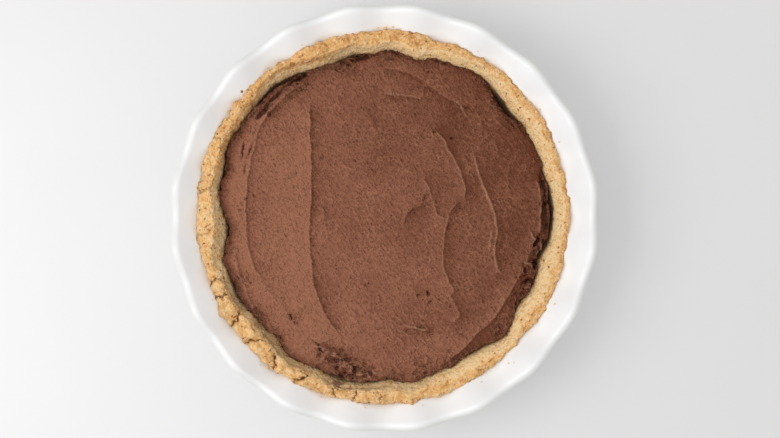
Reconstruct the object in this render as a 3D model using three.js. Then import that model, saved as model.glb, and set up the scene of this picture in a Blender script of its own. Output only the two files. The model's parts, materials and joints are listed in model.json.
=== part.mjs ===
// A chocolate tart in the ruffled pie dish that it was baked in: a glazed ceramic dish, a shell of
// crumbly nut pastry pressed against its wall, and a spread chocolate filling with the marks of the
// spatula on it. Millimetres, +Z up. The origin is on the table under the middle of the dish, and
// angles are in degrees, anticlockwise from +X seen from above.
import * as THREE from "three";

const { clamp, degToRad, euclideanModulo, lerp, smoothstep } = THREE.MathUtils;
const TURN = 360;

// Thin clearance between two pieces that touch.
const GAP = 0.35;

// Dish: a flat floor, a wall that leans out and flares, and a rounded lip.
const FLOOR_TOP = 5;
const FLOOR_THICKNESS = 3.4;
const WALL_FOOT_RADIUS = 97.7; // where the line of the inner wall meets the floor
const WALL_LEAN = 0.727; // outward run for each millimetre of rise
const WALL_FLARE = 3; // further run of the wall by the time it reaches the lip
const WALL_THICKNESS = 6;
const WALL_TOP = 44; // height at which the inner wall turns into the lip
const CORNER_RUN = 7; // how far the rounding between floor and wall reaches along each
const FOOT_RADIUS = 92;
const FOOT_WIDTH = 5;
const FOOT_CHAMFER = 1.4;

// Ruffles: soft waves that push the wall inwards and the lip up and out.
const RUFFLES = 20;
const FIRST_RUFFLE = 9;
const RUFFLE_PUSH = 2.1; // square to the wall
const RUFFLE_LIFT = 2.6; // along the wall, at the lip
const PUSH_SPAN = [22, 38]; // heights over which the push comes in
const LIFT_SPAN = [24, 40];
const STEPS_PER_RUFFLE = 8;

// Pastry shell.
const CRUST_THICKNESS = 5.2;
const CORNER_OUT = 2; // the slope between the pastry's floor and wall, from where the two meet
const CORNER_IN = 5;
const CORNER_UP = 3;
const CREST_HEIGHT = 34.6;
const CREST_TILT = 1.7; // the pastry stands this much higher at CREST_HIGH_SIDE
const CREST_HIGH_SIDE = 149;
const CREST_UNEVENNESS = 0.45;
const CREST_SPAN = [0.35, 0.72]; // the flat of the rim, as shares of the way from outside to inside
const RIM_DROP_OUTSIDE = 2.2; // from the crest down to where the pastry meets the dish
const RIM_DROP_INSIDE = 1.3; // from the crest down to the inner shoulder
const RIM_ROUND = 0.9; // drop of the rounding at its outside edge
const RIM_SETBACK = 0.5; // the rim's edge stands this far off the dish
const MEETING_FOLLOWS = 0.8; // share of the crest's ups and downs that the meeting line takes
const WALL_EDGE_HEIGHT = 27.9; // where the slope below the shoulder meets that wall
const SHOULDER_RUN = 3.4; // from the inner shoulder in to the wall beside the filling
// Places where that slope is broader: [angle, extra run, half width].
const SHOULDERS = [
  [116, 1.8, 15],
  [158, -1.4, 14],
  [187, 2.4, 12],
  [268, 0.6, 16],
];
const INNER_WALL_SHIFT = -0.1; // where that wall stands, from a shell of even thickness
const INNER_WALL_TILT = 2.2; // it stands this much further out at INNER_WALL_FAR_SIDE
const INNER_WALL_FAR_SIDE = 140;
const PRESS_SPAN = [12, 27]; // heights over which the presses of the fingers come in
const CRUST_STEPS = 240;
const ROUGHNESS = 0.35; // of the broken edges of the pastry and the filling
// Finger-pressed lobes of the inner wall: [angle, push outwards, half width].
const CRUST_LOBES = [
  [2, 3.5, 11],
  [25, 0.8, 6],
  [56, 3.3, 6],
  [79, -4.6, 6],
  [95, -2.8, 4],
  [101, -1.0, 5],
  [111, -4.3, 8],
  [131, 1.9, 7],
  [152, 1.8, 7],
  [183, -6.0, 8],
  [184, -1.2, 28],
  [218, -3.0, 5],
  [227, -3.2, 5],
  [236, 0.8, 5],
  [257, 1.8, 7],
  [271, -1.3, 4],
  [280, 1.2, 4],
  [290, -1.7, 4],
  [302, -1.5, 6],
  [315, 3.5, 5],
  [327, -2.2, 5],
  [344, -1.7, 5],
];
// Cracks across the rim: [angle, depth, half width].
const CRACKS = [
  [80, 1.2, 1.4],
  [99, 1.4, 1.2],
  [109, 1.8, 1.6],
  [125, 1.3, 1.3],
  [136, 1.5, 1.4],
  [155, 1.6, 1.4],
  [171, 1.8, 1.6],
  [200.5, 2.0, 1.4],
  [205.5, 2.4, 1.4],
  [214.5, 2.6, 1.8],
  [223, 1.8, 1.3],
  [232.5, 2.6, 1.9],
  [242.5, 3.0, 1.7],
  [254, 1.6, 1.3],
  [260.5, 2.4, 1.6],
  [268.5, 1.8, 1.5],
  [283, 1.2, 1.2],
  [299, 1.3, 1.3],
  [322, 0.9, 1.4],
  [18, 0.9, 1.3],
  [35, 1.2, 1.5],
];

// Filling.
const FILLING_HEIGHT = 29.4;
const FILLING_DOME = 1.5;
const BROAD_SWELL = 0.35; // heights of the uneven waves left in the top
const FINE_SWELL = 0.16;
const EDGE_ROLL = 4; // width over which the top rolls down to its edge
const EDGE_DROP = 1.3;
const EDGE_CLEARANCE = 0.65; // least gap between the top edge and the pastry
const SIDE_HEIGHT = 23; // where the side of the filling meets the pastry again
const SIDE_CLEARANCE = 1.2; // there, to allow for the flat faces of the pastry's wall
const FILLING_RINGS = 24;
// Places where the filling shrinks back from the pastry: [angle, gap, half width].
const PULLBACKS = [
  [2, 3.4, 13],
  [44, 4.6, 8],
  [104, 1.6, 5],
  [128, 3.0, 10],
  [163, 1.6, 10],
  [186, 1.8, 7],
  [206, 1.8, 8],
  [254, 2.6, 6],
  [267, 1.2, 6],
  [305, 2.2, 6],
  [332, 1.6, 8],
  [347, 2.2, 5],
];
// Marks of the spatula: smooth curves through a few points. The filling is high on the left of each
// path, looking along it, by `step`, and falls back to its level over `reach`; a `lip` stands along
// the edge itself.
const STROKES = [
  {
    // a long pull down the left of the middle that bends away at the bottom
    path: [[-27, -72], [-40, -58], [-46.5, -36], [-48.5, -8], [-46, 20], [-47.5, 57]],
    step: 1.1,
    reach: 14,
    lip: 0.3,
  },
  {
    // the flap that follows the left edge
    path: [[-66, -59], [-79, -40], [-88, -14], [-87, 24], [-79, 59], [-50, 89]],
    step: 1.2,
    reach: 9,
    lip: 0.6,
  },
  {
    // the ragged right border of the middle plateau
    path: [[41, -68], [47, -61], [42, -44], [38, -33], [38, -20], [40, 0], [49, 13]],
    step: 1.2,
    reach: 12,
    lip: 0.3,
  },
  {
    // the thin lip down the right
    path: [[74, -36], [71.5, -26], [71.5, -2], [62, 24], [57, 42]],
    step: 0.9,
    reach: 8,
    lip: 0.8,
  },
  {
    path: [[52, 20], [49, 29], [37, 50], [31, 59]],
    step: 0.9,
    reach: 9,
    lip: 0.5,
  },
  {
    path: [[38, 2], [34, 2], [31.5, 8], [28, 20]],
    step: 0.8,
    reach: 7,
    lip: 0.5,
  },
  {
    // the edge of the last pass across the top
    path: [[56, 70], [47, 72], [34, 80], [22, 89], [-6, 96]],
    step: -0.8,
    reach: 9,
    lip: 0.3,
  },
  {
    path: [[24, 75], [12, 78], [0, 79.5]],
    step: 0.6,
    reach: 8,
    lip: 0.4,
  },
  {
    // the slope that the spatula pressed along the lower right edge
    path: [[42, -91], [62, -70], [84, -43], [95, -8]],
    step: 1.3,
    reach: 12,
    lip: 0.4,
  },
];
const STROKE_PIECES = 12;
const STROKE_EDGE = 1.3; // half width of the fall at a stroke's edge
const STROKE_LIP_WIDTH = 1.8;
const STROKE_FADE = 0.16; // share of its length over which each end of a stroke dies away
// Peaks left where the spatula lifted off: [x, y, height, radius].
const PEAKS = [
  [-23.5, 103, 2.2, 4],
  [24.5, -71, 1.6, 4],
  [-32, -88, 1.8, 4.5],
  [-17, -98, 1.8, 4.5],
  [98, -19, 1.6, 4],
  [93, -38, 1.6, 5],
];

const dishMaterial = new THREE.MeshStandardMaterial({
  color: "#f1f0ee",
  roughness: 0.18,
  metalness: 0,
});
const crustMaterial = new THREE.MeshStandardMaterial({
  color: "#d8ac78",
  roughness: 0.9,
  metalness: 0,
});
const fillingMaterial = new THREE.MeshStandardMaterial({
  color: "#805240",
  roughness: 0.62,
  metalness: 0,
});

// Smallest signed turn from one angle to another, in degrees.
function turnBetween(from, to) {
  return euclideanModulo(to - from + TURN / 2, TURN) - TURN / 2;
}

// Sum of soft bumps spread round the turn.
function bumpsAt(theta, bumps) {
  return bumps.reduce((sum, [angle, height, halfWidth]) => {
    const away = turnBetween(angle, theta) / halfWidth;
    return sum + height * Math.exp(-away * away);
  }, 0);
}

// Even waviness round the turn from a run of harmonics with scattered phases, about -1 to 1.
function waviness(theta, lowest, highest, seed) {
  let sum = 0;
  for (let k = lowest; k <= highest; k++) {
    sum += Math.cos(degToRad(k * theta) + seed * k * k);
  }
  return sum / Math.sqrt(highest - lowest + 1);
}

// Soft unevenness over the plane from waves that run in scattered directions, about -1 to 1.
function swell(x, y, wavelength, seed) {
  const WAVES = 7;
  let sum = 0;
  for (let i = 0; i < WAVES; i++) {
    const heading = seed + i * 2.4;
    const length = wavelength * (0.7 + 0.1 * i);
    const along = x * Math.cos(heading) + y * Math.sin(heading);
    sum += Math.cos((2 * Math.PI * along) / length + seed * i * i);
  }
  return sum / Math.sqrt(WAVES);
}

// The dish's inner wall, before it is ruffled.
function wallRadius(z) {
  const rise = z - FLOOR_TOP;
  return (
    WALL_FOOT_RADIUS + WALL_LEAN * rise + WALL_FLARE * (rise / (WALL_TOP - FLOOR_TOP)) ** 2
  );
}

// Unit vectors in the plane of radius and height: up along the wall, and square to it, inwards.
function wallFrame(z) {
  const run = WALL_LEAN + (2 * WALL_FLARE * (z - FLOOR_TOP)) / (WALL_TOP - FLOOR_TOP) ** 2;
  const up = new THREE.Vector2(run, 1).normalize();
  return { up, inward: new THREE.Vector2(-up.y, up.x) };
}

// The point of the inner wall at height z, moved inwards by `inset` square to the wall.
function wallPoint(z, inset) {
  const { inward } = wallFrame(z);
  return new THREE.Vector2(wallRadius(z), z).addScaledVector(inward, inset);
}

// Moves a point of a section by the ruffle at that angle; the floor stays plain.
function ruffled(point, theta) {
  const z = clamp(point.y, FLOOR_TOP, WALL_TOP);
  const { up, inward } = wallFrame(z);
  const wave = Math.cos(degToRad(RUFFLES * (theta - FIRST_RUFFLE)));
  const push = wave * RUFFLE_PUSH * smoothstep(point.y, ...PUSH_SPAN);
  const lift = wave * RUFFLE_LIFT * smoothstep(point.y, ...LIFT_SPAN);
  return point.clone().addScaledVector(inward, push).addScaledVector(up, lift);
}

// Turns a section that changes with the angle into a closed solid. Every section has the same
// number of points, from the axis below to the axis above.
function turned(sectionAt, steps) {
  const geometry = new THREE.LatheGeometry(sectionAt(0), steps);
  const position = geometry.getAttribute("position");
  for (let i = 0; i <= steps; i++) {
    const theta = (TURN * (i % steps)) / steps;
    const section = sectionAt(theta);
    section.forEach((point, j) => {
      position.setXYZ(
        i * section.length + j,
        point.x * Math.cos(degToRad(theta)),
        point.x * Math.sin(degToRad(theta)),
        point.y,
      );
    });
  }
  return geometry;
}

// The rounding between a floor and the wall, `inset` inside the dish's own surface.
function cornerPoints(inset, run, pieces) {
  const floor = FLOOR_TOP + inset;
  const foot = wallPoint(FLOOR_TOP, inset);
  const { up } = wallFrame(FLOOR_TOP);
  const corner = foot.clone().addScaledVector(up, (floor - foot.y) / up.y);
  const onFloor = new THREE.Vector2(corner.x - run, floor);
  const onWall = corner.clone().addScaledVector(up, run);
  return new THREE.QuadraticBezierCurve(onFloor, corner, onWall).getPoints(pieces);
}

function dishSection() {
  const CORNER_PIECES = 2;
  const LIP_PIECES = 3;
  const underFloor = FLOOR_TOP - FLOOR_THICKNESS;
  const { up, inward } = wallFrame(WALL_TOP);
  const lipCentre = wallPoint(WALL_TOP, -WALL_THICKNESS / 2);
  const lip = [];
  for (let i = 0; i <= LIP_PIECES; i++) {
    const turn = (Math.PI * i) / LIP_PIECES;
    lip.push(
      lipCentre
        .clone()
        .addScaledVector(inward, (-Math.cos(turn) * WALL_THICKNESS) / 2)
        .addScaledVector(up, (Math.sin(turn) * WALL_THICKNESS) / 2),
    );
  }
  return [
    new THREE.Vector2(0, underFloor),
    new THREE.Vector2(FOOT_RADIUS - FOOT_WIDTH - FOOT_CHAMFER, underFloor),
    new THREE.Vector2(FOOT_RADIUS - FOOT_WIDTH, 0),
    new THREE.Vector2(FOOT_RADIUS, 0),
    new THREE.Vector2(FOOT_RADIUS + 2 * FOOT_CHAMFER, FOOT_CHAMFER),
    ...[FLOOR_TOP + 2, WALL_TOP - 9].map((z) => wallPoint(z, -WALL_THICKNESS)),
    ...lip,
    ...[WALL_TOP - 9, WALL_TOP - 14, WALL_TOP - 20].map((z) => wallPoint(z, 0)),
    ...cornerPoints(0, CORNER_RUN, CORNER_PIECES).reverse(),
    new THREE.Vector2(0, FLOOR_TOP),
  ];
}

function makeDish() {
  const section = dishSection();
  const ruffledSection = (theta) => section.map((point) => ruffled(point, theta));
  return turned(ruffledSection, RUFFLES * STEPS_PER_RUFFLE);
}

// Height of the top of the pastry rim.
function crestHeight(theta) {
  return (
    CREST_HEIGHT +
    CREST_TILT * Math.cos(degToRad(theta - CREST_HIGH_SIDE)) +
    CREST_UNEVENNESS * waviness(theta, 9, 40, 1.7) -
    bumpsAt(theta, CRACKS)
  );
}

// Radius of the pastry's inner wall at height z, where the filling touches it.
function innerWallRadius(theta, z) {
  const even = wallRadius(z) - (GAP + CRUST_THICKNESS) / wallFrame(z).up.y;
  const pressed =
    INNER_WALL_SHIFT +
    INNER_WALL_TILT * Math.cos(degToRad(theta - INNER_WALL_FAR_SIDE)) +
    bumpsAt(theta, CRUST_LOBES) +
    ROUGHNESS * waviness(theta, 12, 30, 0.9);
  return even + pressed * smoothstep(z, ...PRESS_SPAN);
}

function crustSection(theta) {
  const UNDER_HEIGHTS = [22, 28];
  const crest = crestHeight(theta);
  const meeting = CREST_HEIGHT - RIM_DROP_OUTSIDE + MEETING_FOLLOWS * (crest - CREST_HEIGHT);
  const outerEdge =
    wallPoint(meeting, GAP + RIM_SETBACK).x - ROUGHNESS * (1 + waviness(theta, 20, 60, 2.3));
  const innerEdge = innerWallRadius(theta, WALL_EDGE_HEIGHT);
  const shoulder = innerEdge + SHOULDER_RUN + bumpsAt(theta, SHOULDERS);
  const floorTop = FLOOR_TOP + GAP + CRUST_THICKNESS;
  const wallFoot = innerWallRadius(theta, floorTop);
  const outside = [
    ...cornerPoints(GAP, CORNER_RUN, 1),
    ...UNDER_HEIGHTS.map((z) => wallPoint(z, GAP)),
    wallPoint(meeting, GAP),
  ].map((point) => ruffled(point, theta));
  return [
    new THREE.Vector2(0, FLOOR_TOP + GAP),
    ...outside,
    new THREE.Vector2(outerEdge, crest - RIM_ROUND),
    ...CREST_SPAN.map((share) => new THREE.Vector2(lerp(outerEdge, shoulder, share), crest)),
    new THREE.Vector2(shoulder, crest - RIM_DROP_INSIDE),
    new THREE.Vector2(innerEdge, WALL_EDGE_HEIGHT),
    new THREE.Vector2(wallFoot + CORNER_OUT, floorTop + CORNER_UP),
    new THREE.Vector2(wallFoot - CORNER_IN, floorTop),
    new THREE.Vector2(0, floorTop),
  ];
}

function makeCrust() {
  return turned(crustSection, CRUST_STEPS);
}

// Radius of the filling's edge, seen from above.
function fillingRadius(theta) {
  return (
    innerWallRadius(theta, FILLING_HEIGHT - EDGE_DROP) -
    EDGE_CLEARANCE -
    bumpsAt(theta, PULLBACKS) -
    ROUGHNESS * (1 + waviness(theta, 25, 60, 3.1))
  );
}

const strokeCurves = STROKES.map(({ path, ...stroke }) => {
  const curve = new THREE.SplineCurve(path.map(([x, y]) => new THREE.Vector2(x, y)));
  return { ...stroke, path: curve.getPoints(STROKE_PIECES).map(({ x, y }) => [x, y]) };
});

// Where a point lies beside a path: the signed distance, positive on its left, and the share of the
// path's length at the nearest point.
function besidePath(path, x, y) {
  const best = { distance: Infinity, share: 0 };
  for (let i = 0; i + 1 < path.length; i++) {
    const [ax, ay] = path[i];
    const [bx, by] = path[i + 1];
    const [dx, dy] = [bx - ax, by - ay];
    const along = clamp(((x - ax) * dx + (y - ay) * dy) / (dx * dx + dy * dy), 0, 1);
    const [px, py] = [x - ax - along * dx, y - ay - along * dy];
    const distance = Math.hypot(px, py);
    if (distance < Math.abs(best.distance)) {
      best.distance = dx * py - dy * px >= 0 ? distance : -distance;
      best.share = (i + along) / (path.length - 1);
    }
  }
  return best;
}

// Height that one stroke adds: a step that falls at the path's edge and a narrow lip along it.
function strokeHeight({ path, step, reach, lip }, x, y) {
  const { distance, share } = besidePath(path, x, y);
  if (Math.abs(distance) > 3 * reach) return 0;
  const ends = smoothstep(share, 0, STROKE_FADE) * smoothstep(1 - share, 0, STROKE_FADE);
  const raised = smoothstep(distance, -STROKE_EDGE, STROKE_EDGE) - 0.5;
  const away = Math.abs(distance) / reach;
  const ridge = Math.exp(-(((distance - STROKE_EDGE / 2) / STROKE_LIP_WIDTH) ** 2));
  return ends * (step * raised * Math.exp(-away * away) + lip * ridge);
}

function fillingHeight(x, y, edge) {
  const radius = Math.hypot(x, y);
  const share = radius / edge;
  const strokes = strokeCurves.reduce((sum, stroke) => sum + strokeHeight(stroke, x, y), 0);
  const peaks = PEAKS.reduce((sum, [px, py, height, spread]) => {
    const away = Math.hypot(x - px, y - py) / spread;
    return sum + height * Math.exp(-away * away);
  }, 0);
  return (
    FILLING_HEIGHT +
    FILLING_DOME * (1 - share * share) +
    BROAD_SWELL * swell(x, y, 60, 1.3) +
    FINE_SWELL * swell(x, y, 22, 4.2) +
    strokes +
    peaks -
    EDGE_DROP * smoothstep(radius, edge - EDGE_ROLL, edge)
  );
}

// A disc of rings, six more points in each than in the last, joined to rings down the side and
// closed by a flat base.
function makeFilling() {
  const base = FLOOR_TOP + 2 * GAP + CRUST_THICKNESS;
  const edgeCount = 6 * FILLING_RINGS;
  const points = [[0, 0, fillingHeight(0, 0, fillingRadius(0))]];
  const ringStart = [0];
  for (let ring = 1; ring <= FILLING_RINGS; ring++) {
    ringStart.push(points.length);
    for (let i = 0; i < 6 * ring; i++) {
      const theta = (TURN * i) / (6 * ring);
      const edge = fillingRadius(theta);
      const radius = (edge * ring) / FILLING_RINGS;
      const x = radius * Math.cos(degToRad(theta));
      const y = radius * Math.sin(degToRad(theta));
      points.push([x, y, fillingHeight(x, y, edge)]);
    }
  }
  const wallFoot = (theta) => innerWallRadius(theta, base - GAP);
  const sides = [
    (theta) => [innerWallRadius(theta, SIDE_HEIGHT) - SIDE_CLEARANCE, SIDE_HEIGHT],
    (theta) => [wallFoot(theta) + CORNER_OUT - GAP, base + CORNER_UP],
    (theta) => [wallFoot(theta) - CORNER_IN, base],
  ];
  for (const side of sides) {
    ringStart.push(points.length);
    for (let i = 0; i < edgeCount; i++) {
      const theta = (TURN * i) / edgeCount;
      const [radius, z] = side(theta);
      points.push([radius * Math.cos(degToRad(theta)), radius * Math.sin(degToRad(theta)), z]);
    }
  }
  const baseCentre = points.push([0, 0, base]) - 1;

  const faces = [];
  const at = (ring, i) => ringStart[ring] + euclideanModulo(i, Math.max(1, 6 * ring));
  for (let ring = 1; ring <= FILLING_RINGS; ring++) {
    for (let sector = 0; sector < 6; sector++) {
      for (let i = 0; i < ring; i++) {
        const outer = sector * ring + i;
        const inner = sector * (ring - 1) + i;
        faces.push(at(ring, outer), at(ring, outer + 1), at(ring - 1, inner));
        if (i + 1 < ring) {
          faces.push(at(ring - 1, inner), at(ring, outer + 1), at(ring - 1, inner + 1));
        }
      }
    }
  }
  for (let level = FILLING_RINGS; level < ringStart.length - 1; level++) {
    for (let i = 0; i < edgeCount; i++) {
      const next = (i + 1) % edgeCount;
      const [upper, lower] = [ringStart[level], ringStart[level + 1]];
      faces.push(upper + i, lower + i, lower + next);
      faces.push(upper + i, lower + next, upper + next);
    }
  }
  const lowest = ringStart.at(-1);
  for (let i = 0; i < edgeCount; i++) {
    faces.push(lowest + i, baseCentre, lowest + ((i + 1) % edgeCount));
  }
  const geometry = new THREE.BufferGeometry();
  geometry.setAttribute("position", new THREE.Float32BufferAttribute(points.flat(), 3));
  geometry.setIndex(faces);
  geometry.computeVertexNormals();
  return geometry;
}

function named(name, geometry, material) {
  const mesh = new THREE.Mesh(geometry, material);
  mesh.name = name;
  return mesh;
}

const tart = new THREE.Group();
tart.add(
  named("dish", makeDish(), dishMaterial),
  named("crust", makeCrust(), crustMaterial),
  named("filling", makeFilling(), fillingMaterial),
);

export default tart;
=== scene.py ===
"""Chocolate tart in its ruffled pie dish: the finished surfaces, built over the solids of the frame.

Lengths inside the shape functions are millimetres, with the origin on the table under the middle of
the dish, and angles are degrees, anticlockwise from +X seen from above.
"""

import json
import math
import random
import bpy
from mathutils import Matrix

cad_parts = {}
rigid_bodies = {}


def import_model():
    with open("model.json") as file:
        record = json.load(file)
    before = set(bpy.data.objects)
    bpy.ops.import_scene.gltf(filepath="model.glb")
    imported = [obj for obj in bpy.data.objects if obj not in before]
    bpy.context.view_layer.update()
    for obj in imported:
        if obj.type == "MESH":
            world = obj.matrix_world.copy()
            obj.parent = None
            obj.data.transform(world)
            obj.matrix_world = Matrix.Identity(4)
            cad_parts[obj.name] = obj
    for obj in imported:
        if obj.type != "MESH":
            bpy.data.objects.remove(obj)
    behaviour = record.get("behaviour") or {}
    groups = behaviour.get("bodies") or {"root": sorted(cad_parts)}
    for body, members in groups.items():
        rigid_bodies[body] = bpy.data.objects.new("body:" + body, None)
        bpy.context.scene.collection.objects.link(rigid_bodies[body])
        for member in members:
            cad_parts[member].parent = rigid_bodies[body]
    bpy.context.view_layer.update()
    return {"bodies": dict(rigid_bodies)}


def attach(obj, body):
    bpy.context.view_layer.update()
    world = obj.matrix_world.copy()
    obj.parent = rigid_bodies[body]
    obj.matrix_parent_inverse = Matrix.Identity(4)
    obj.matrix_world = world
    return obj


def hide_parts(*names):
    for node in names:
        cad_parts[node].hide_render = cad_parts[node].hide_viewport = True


bl_info = {
    "name": "Chocolate Tart",
    "version": (1, 0, 0),
    "blender": (4, 5, 0),
    "location": "3D View > Sidebar > Tart",
    "description": "Makes a chocolate tart in a ruffled pie dish, with its crumbs and its stage",
    "category": "Add Mesh",
}

from types import SimpleNamespace

import bmesh
import bpy
import numpy as np
from bpy.props import FloatProperty, FloatVectorProperty, IntProperty, PointerProperty
from bpy.types import Operator, Panel, PropertyGroup
from mathutils import Euler, Vector, noise

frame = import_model()
(BODY,) = frame["bodies"]
MM = 0.001
TURN = 360.0


# ---- Sizes that the pieces share ----

GAP = 0.35  # clearance between pieces that touch

# the dish's inner wall: a leaning line from the floor that flares towards the lip
FLOOR_TOP = 5.0
FLOOR_THICKNESS = 3.4
WALL_FOOT_RADIUS = 97.7
WALL_LEAN = 0.727  # run outwards for each millimetre of height
WALL_FLARE = 3.0  # further run at the lip
WALL_TOP = 44.0
CORNER_RUN = 7.0  # how far the rounding reaches along floor and wall
FOOT_RADIUS = 92.0
FOOT_WIDTH = 5.0
PUSH_SPAN = (22.0, 38.0)  # heights over which the ruffles of the wall grow,
LIFT_SPAN = (24.0, 40.0)  # and those over which they lift the lip

# the pastry shell
CRUST_THICKNESS = 5.2
CREST_HEIGHT = 34.6
CREST_TILT = 1.7  # the rim stands this much higher on its high side
CREST_HIGH_SIDE = 149.0
CREST_UNEVENNESS = 0.45
RIM_DROP_OUTSIDE = 2.2  # from the crest down to where the pastry meets the dish
RIM_DROP_INSIDE = 1.3  # and down to the shoulder inside
RIM_SETBACK = 0.5  # of the crest's outer edge from the dish
MEETING_FOLLOWS = 0.8  # share of the crest's unevenness that the meeting line takes
WALL_EDGE_HEIGHT = 27.9  # where the slope inside the rim turns down into the inner wall
SHOULDER_RUN = 3.4  # width of that slope
INNER_WALL_SHIFT = -0.1  # the whole inner wall, outwards
INNER_WALL_TILT = 2.2  # how much further out it is on its far side
INNER_WALL_FAR_SIDE = 140.0
PRESS_SPAN = (12.0, 27.0)  # heights over which the finger marks grow
ROUGHNESS = 0.35  # unevenness of the edges of pastry and filling
# where the slope inside the rim is broader, or narrower: (angle, extra run, half width)
SHOULDERS = (
    (116, 1.6, 15), (136, 0.2, 10), (158, -1.4, 14), (187, 2.4, 12), (207, -0.8, 8), (226, -0.2, 24),
    (228, 1.4, 6), (268, 0.6, 16),
)
# finger-pressed lobes of the inner wall: (angle, push outwards, half width)
CRUST_LOBES = (
    (2, 3.5, 11), (25, 0.8, 6), (56, 3.3, 6), (79, -4.6, 6), (95, -2.8, 4), (101, -1.0, 5),
    (111, -4.3, 8), (131, 1.9, 7), (152, 1.8, 7), (183, -6.0, 8), (184, -1.2, 28), (218, -3.0, 5),
    (227, -3.2, 5), (236, 0.8, 5), (257, 1.8, 7), (271, -1.3, 4), (280, 1.2, 4), (290, -1.7, 4),
    (302, -1.5, 6), (315, 3.5, 5), (327, -2.2, 5), (344, -1.7, 5),
)
# cracks across the rim: (angle, depth, half width, lean in mm sideways for each mm outwards)
CRACKS = (
    (80, 0.4, 0.4, 0.3), (99, 0.6, 0.4, -0.4), (109, 0.9, 0.5, 0.3), (125, 0.7, 0.4, -0.3),
    (136, 0.9, 0.5, 0.5), (155, 1.0, 0.5, -0.4), (171, 1.1, 0.5, 0.3), (185, 0.9, 0.5, 0.5),
    (200.5, 1.7, 0.6, 0.2), (205.5, 2.0, 0.6, -0.5), (214.5, 2.2, 0.6, 0.6), (223, 1.8, 0.5, -0.6),
    (232.5, 2.2, 0.6, 0.4), (242.5, 2.2, 0.6, -0.5), (254, 1.5, 0.5, 0.7), (260.5, 1.9, 0.5, -0.6),
    (268.5, 1.2, 0.5, 0.3), (283, 0.6, 0.4, -0.5), (322, 0.4, 0.4, -0.3),
)
# lumps that stand out at the rim's outer edge, and lower stretches: (angle, rise, half width)
RIM_LUMPS = (
    (50, 1.1, 1.6), (90, 1.8, 1.5), (110, 1.0, 1.5), (162, 1.1, 2), (210, 1.6, 2.2), (240, 0.9, 2),
    (275, 1.0, 2), (13, 0.7, 1.5), (31, 0.9, 1.5), (330, 0.7, 2), (185, 0.9, 1.6), (300, 0.7, 1.5),
    (18, -0.5, 12), (54, 1.4, 4), (73, -1.4, 5), (102, -1.4, 5), (124, -2.0, 6), (144, -1.4, 5),
    (198, -1.8, 4), (279, 1.3, 4), (316, -1.8, 14),
)

# the filling
FILLING_HEIGHT = 29.4
FILLING_DOME = 1.5  # how much higher its middle is
BROAD_SWELL = 0.35
FINE_SWELL = 0.16
SKIN_RELIEF = 0.35  # height of the marks in the cream's skin
EDGE_ROLL = 4.0  # width over which the edge turns down,
EDGE_DROP = 1.3  # by this much
EDGE_CLEARANCE = 0.65  # from the pastry
SIDE_HEIGHT = 23.0  # down to here the side is uneven
TORN_BORDER = 0.7  # how torn the cream is along its edge
BORDER_WIDTH = 4.5
MOST_CRUMPLED = 1.6
RIDGE_TURN = 50.0  # millimetres of ridges for each radian, so that they are long round the edge
SLANT = 0.7071  # cosine of the 45 degrees at which the skin's marks lie,
SKIN_DRAG = 2.4  # and how much longer than wide they are
CRUMB_HEIGHT = 0.35  # of crumbs of cream that stand up in some patches
# where the filling has shrunk back from the pastry: (angle, gap, half width)
PULLBACKS = (
    (2, 3.4, 13), (44, 4.6, 8), (104, 1.6, 5), (128, 3.0, 10), (163, 1.6, 10), (186, 1.8, 7),
    (206, 1.8, 8), (254, 2.6, 6), (267, 1.2, 6), (305, 2.2, 6), (332, 1.6, 8), (347, 2.2, 5),
)

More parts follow.
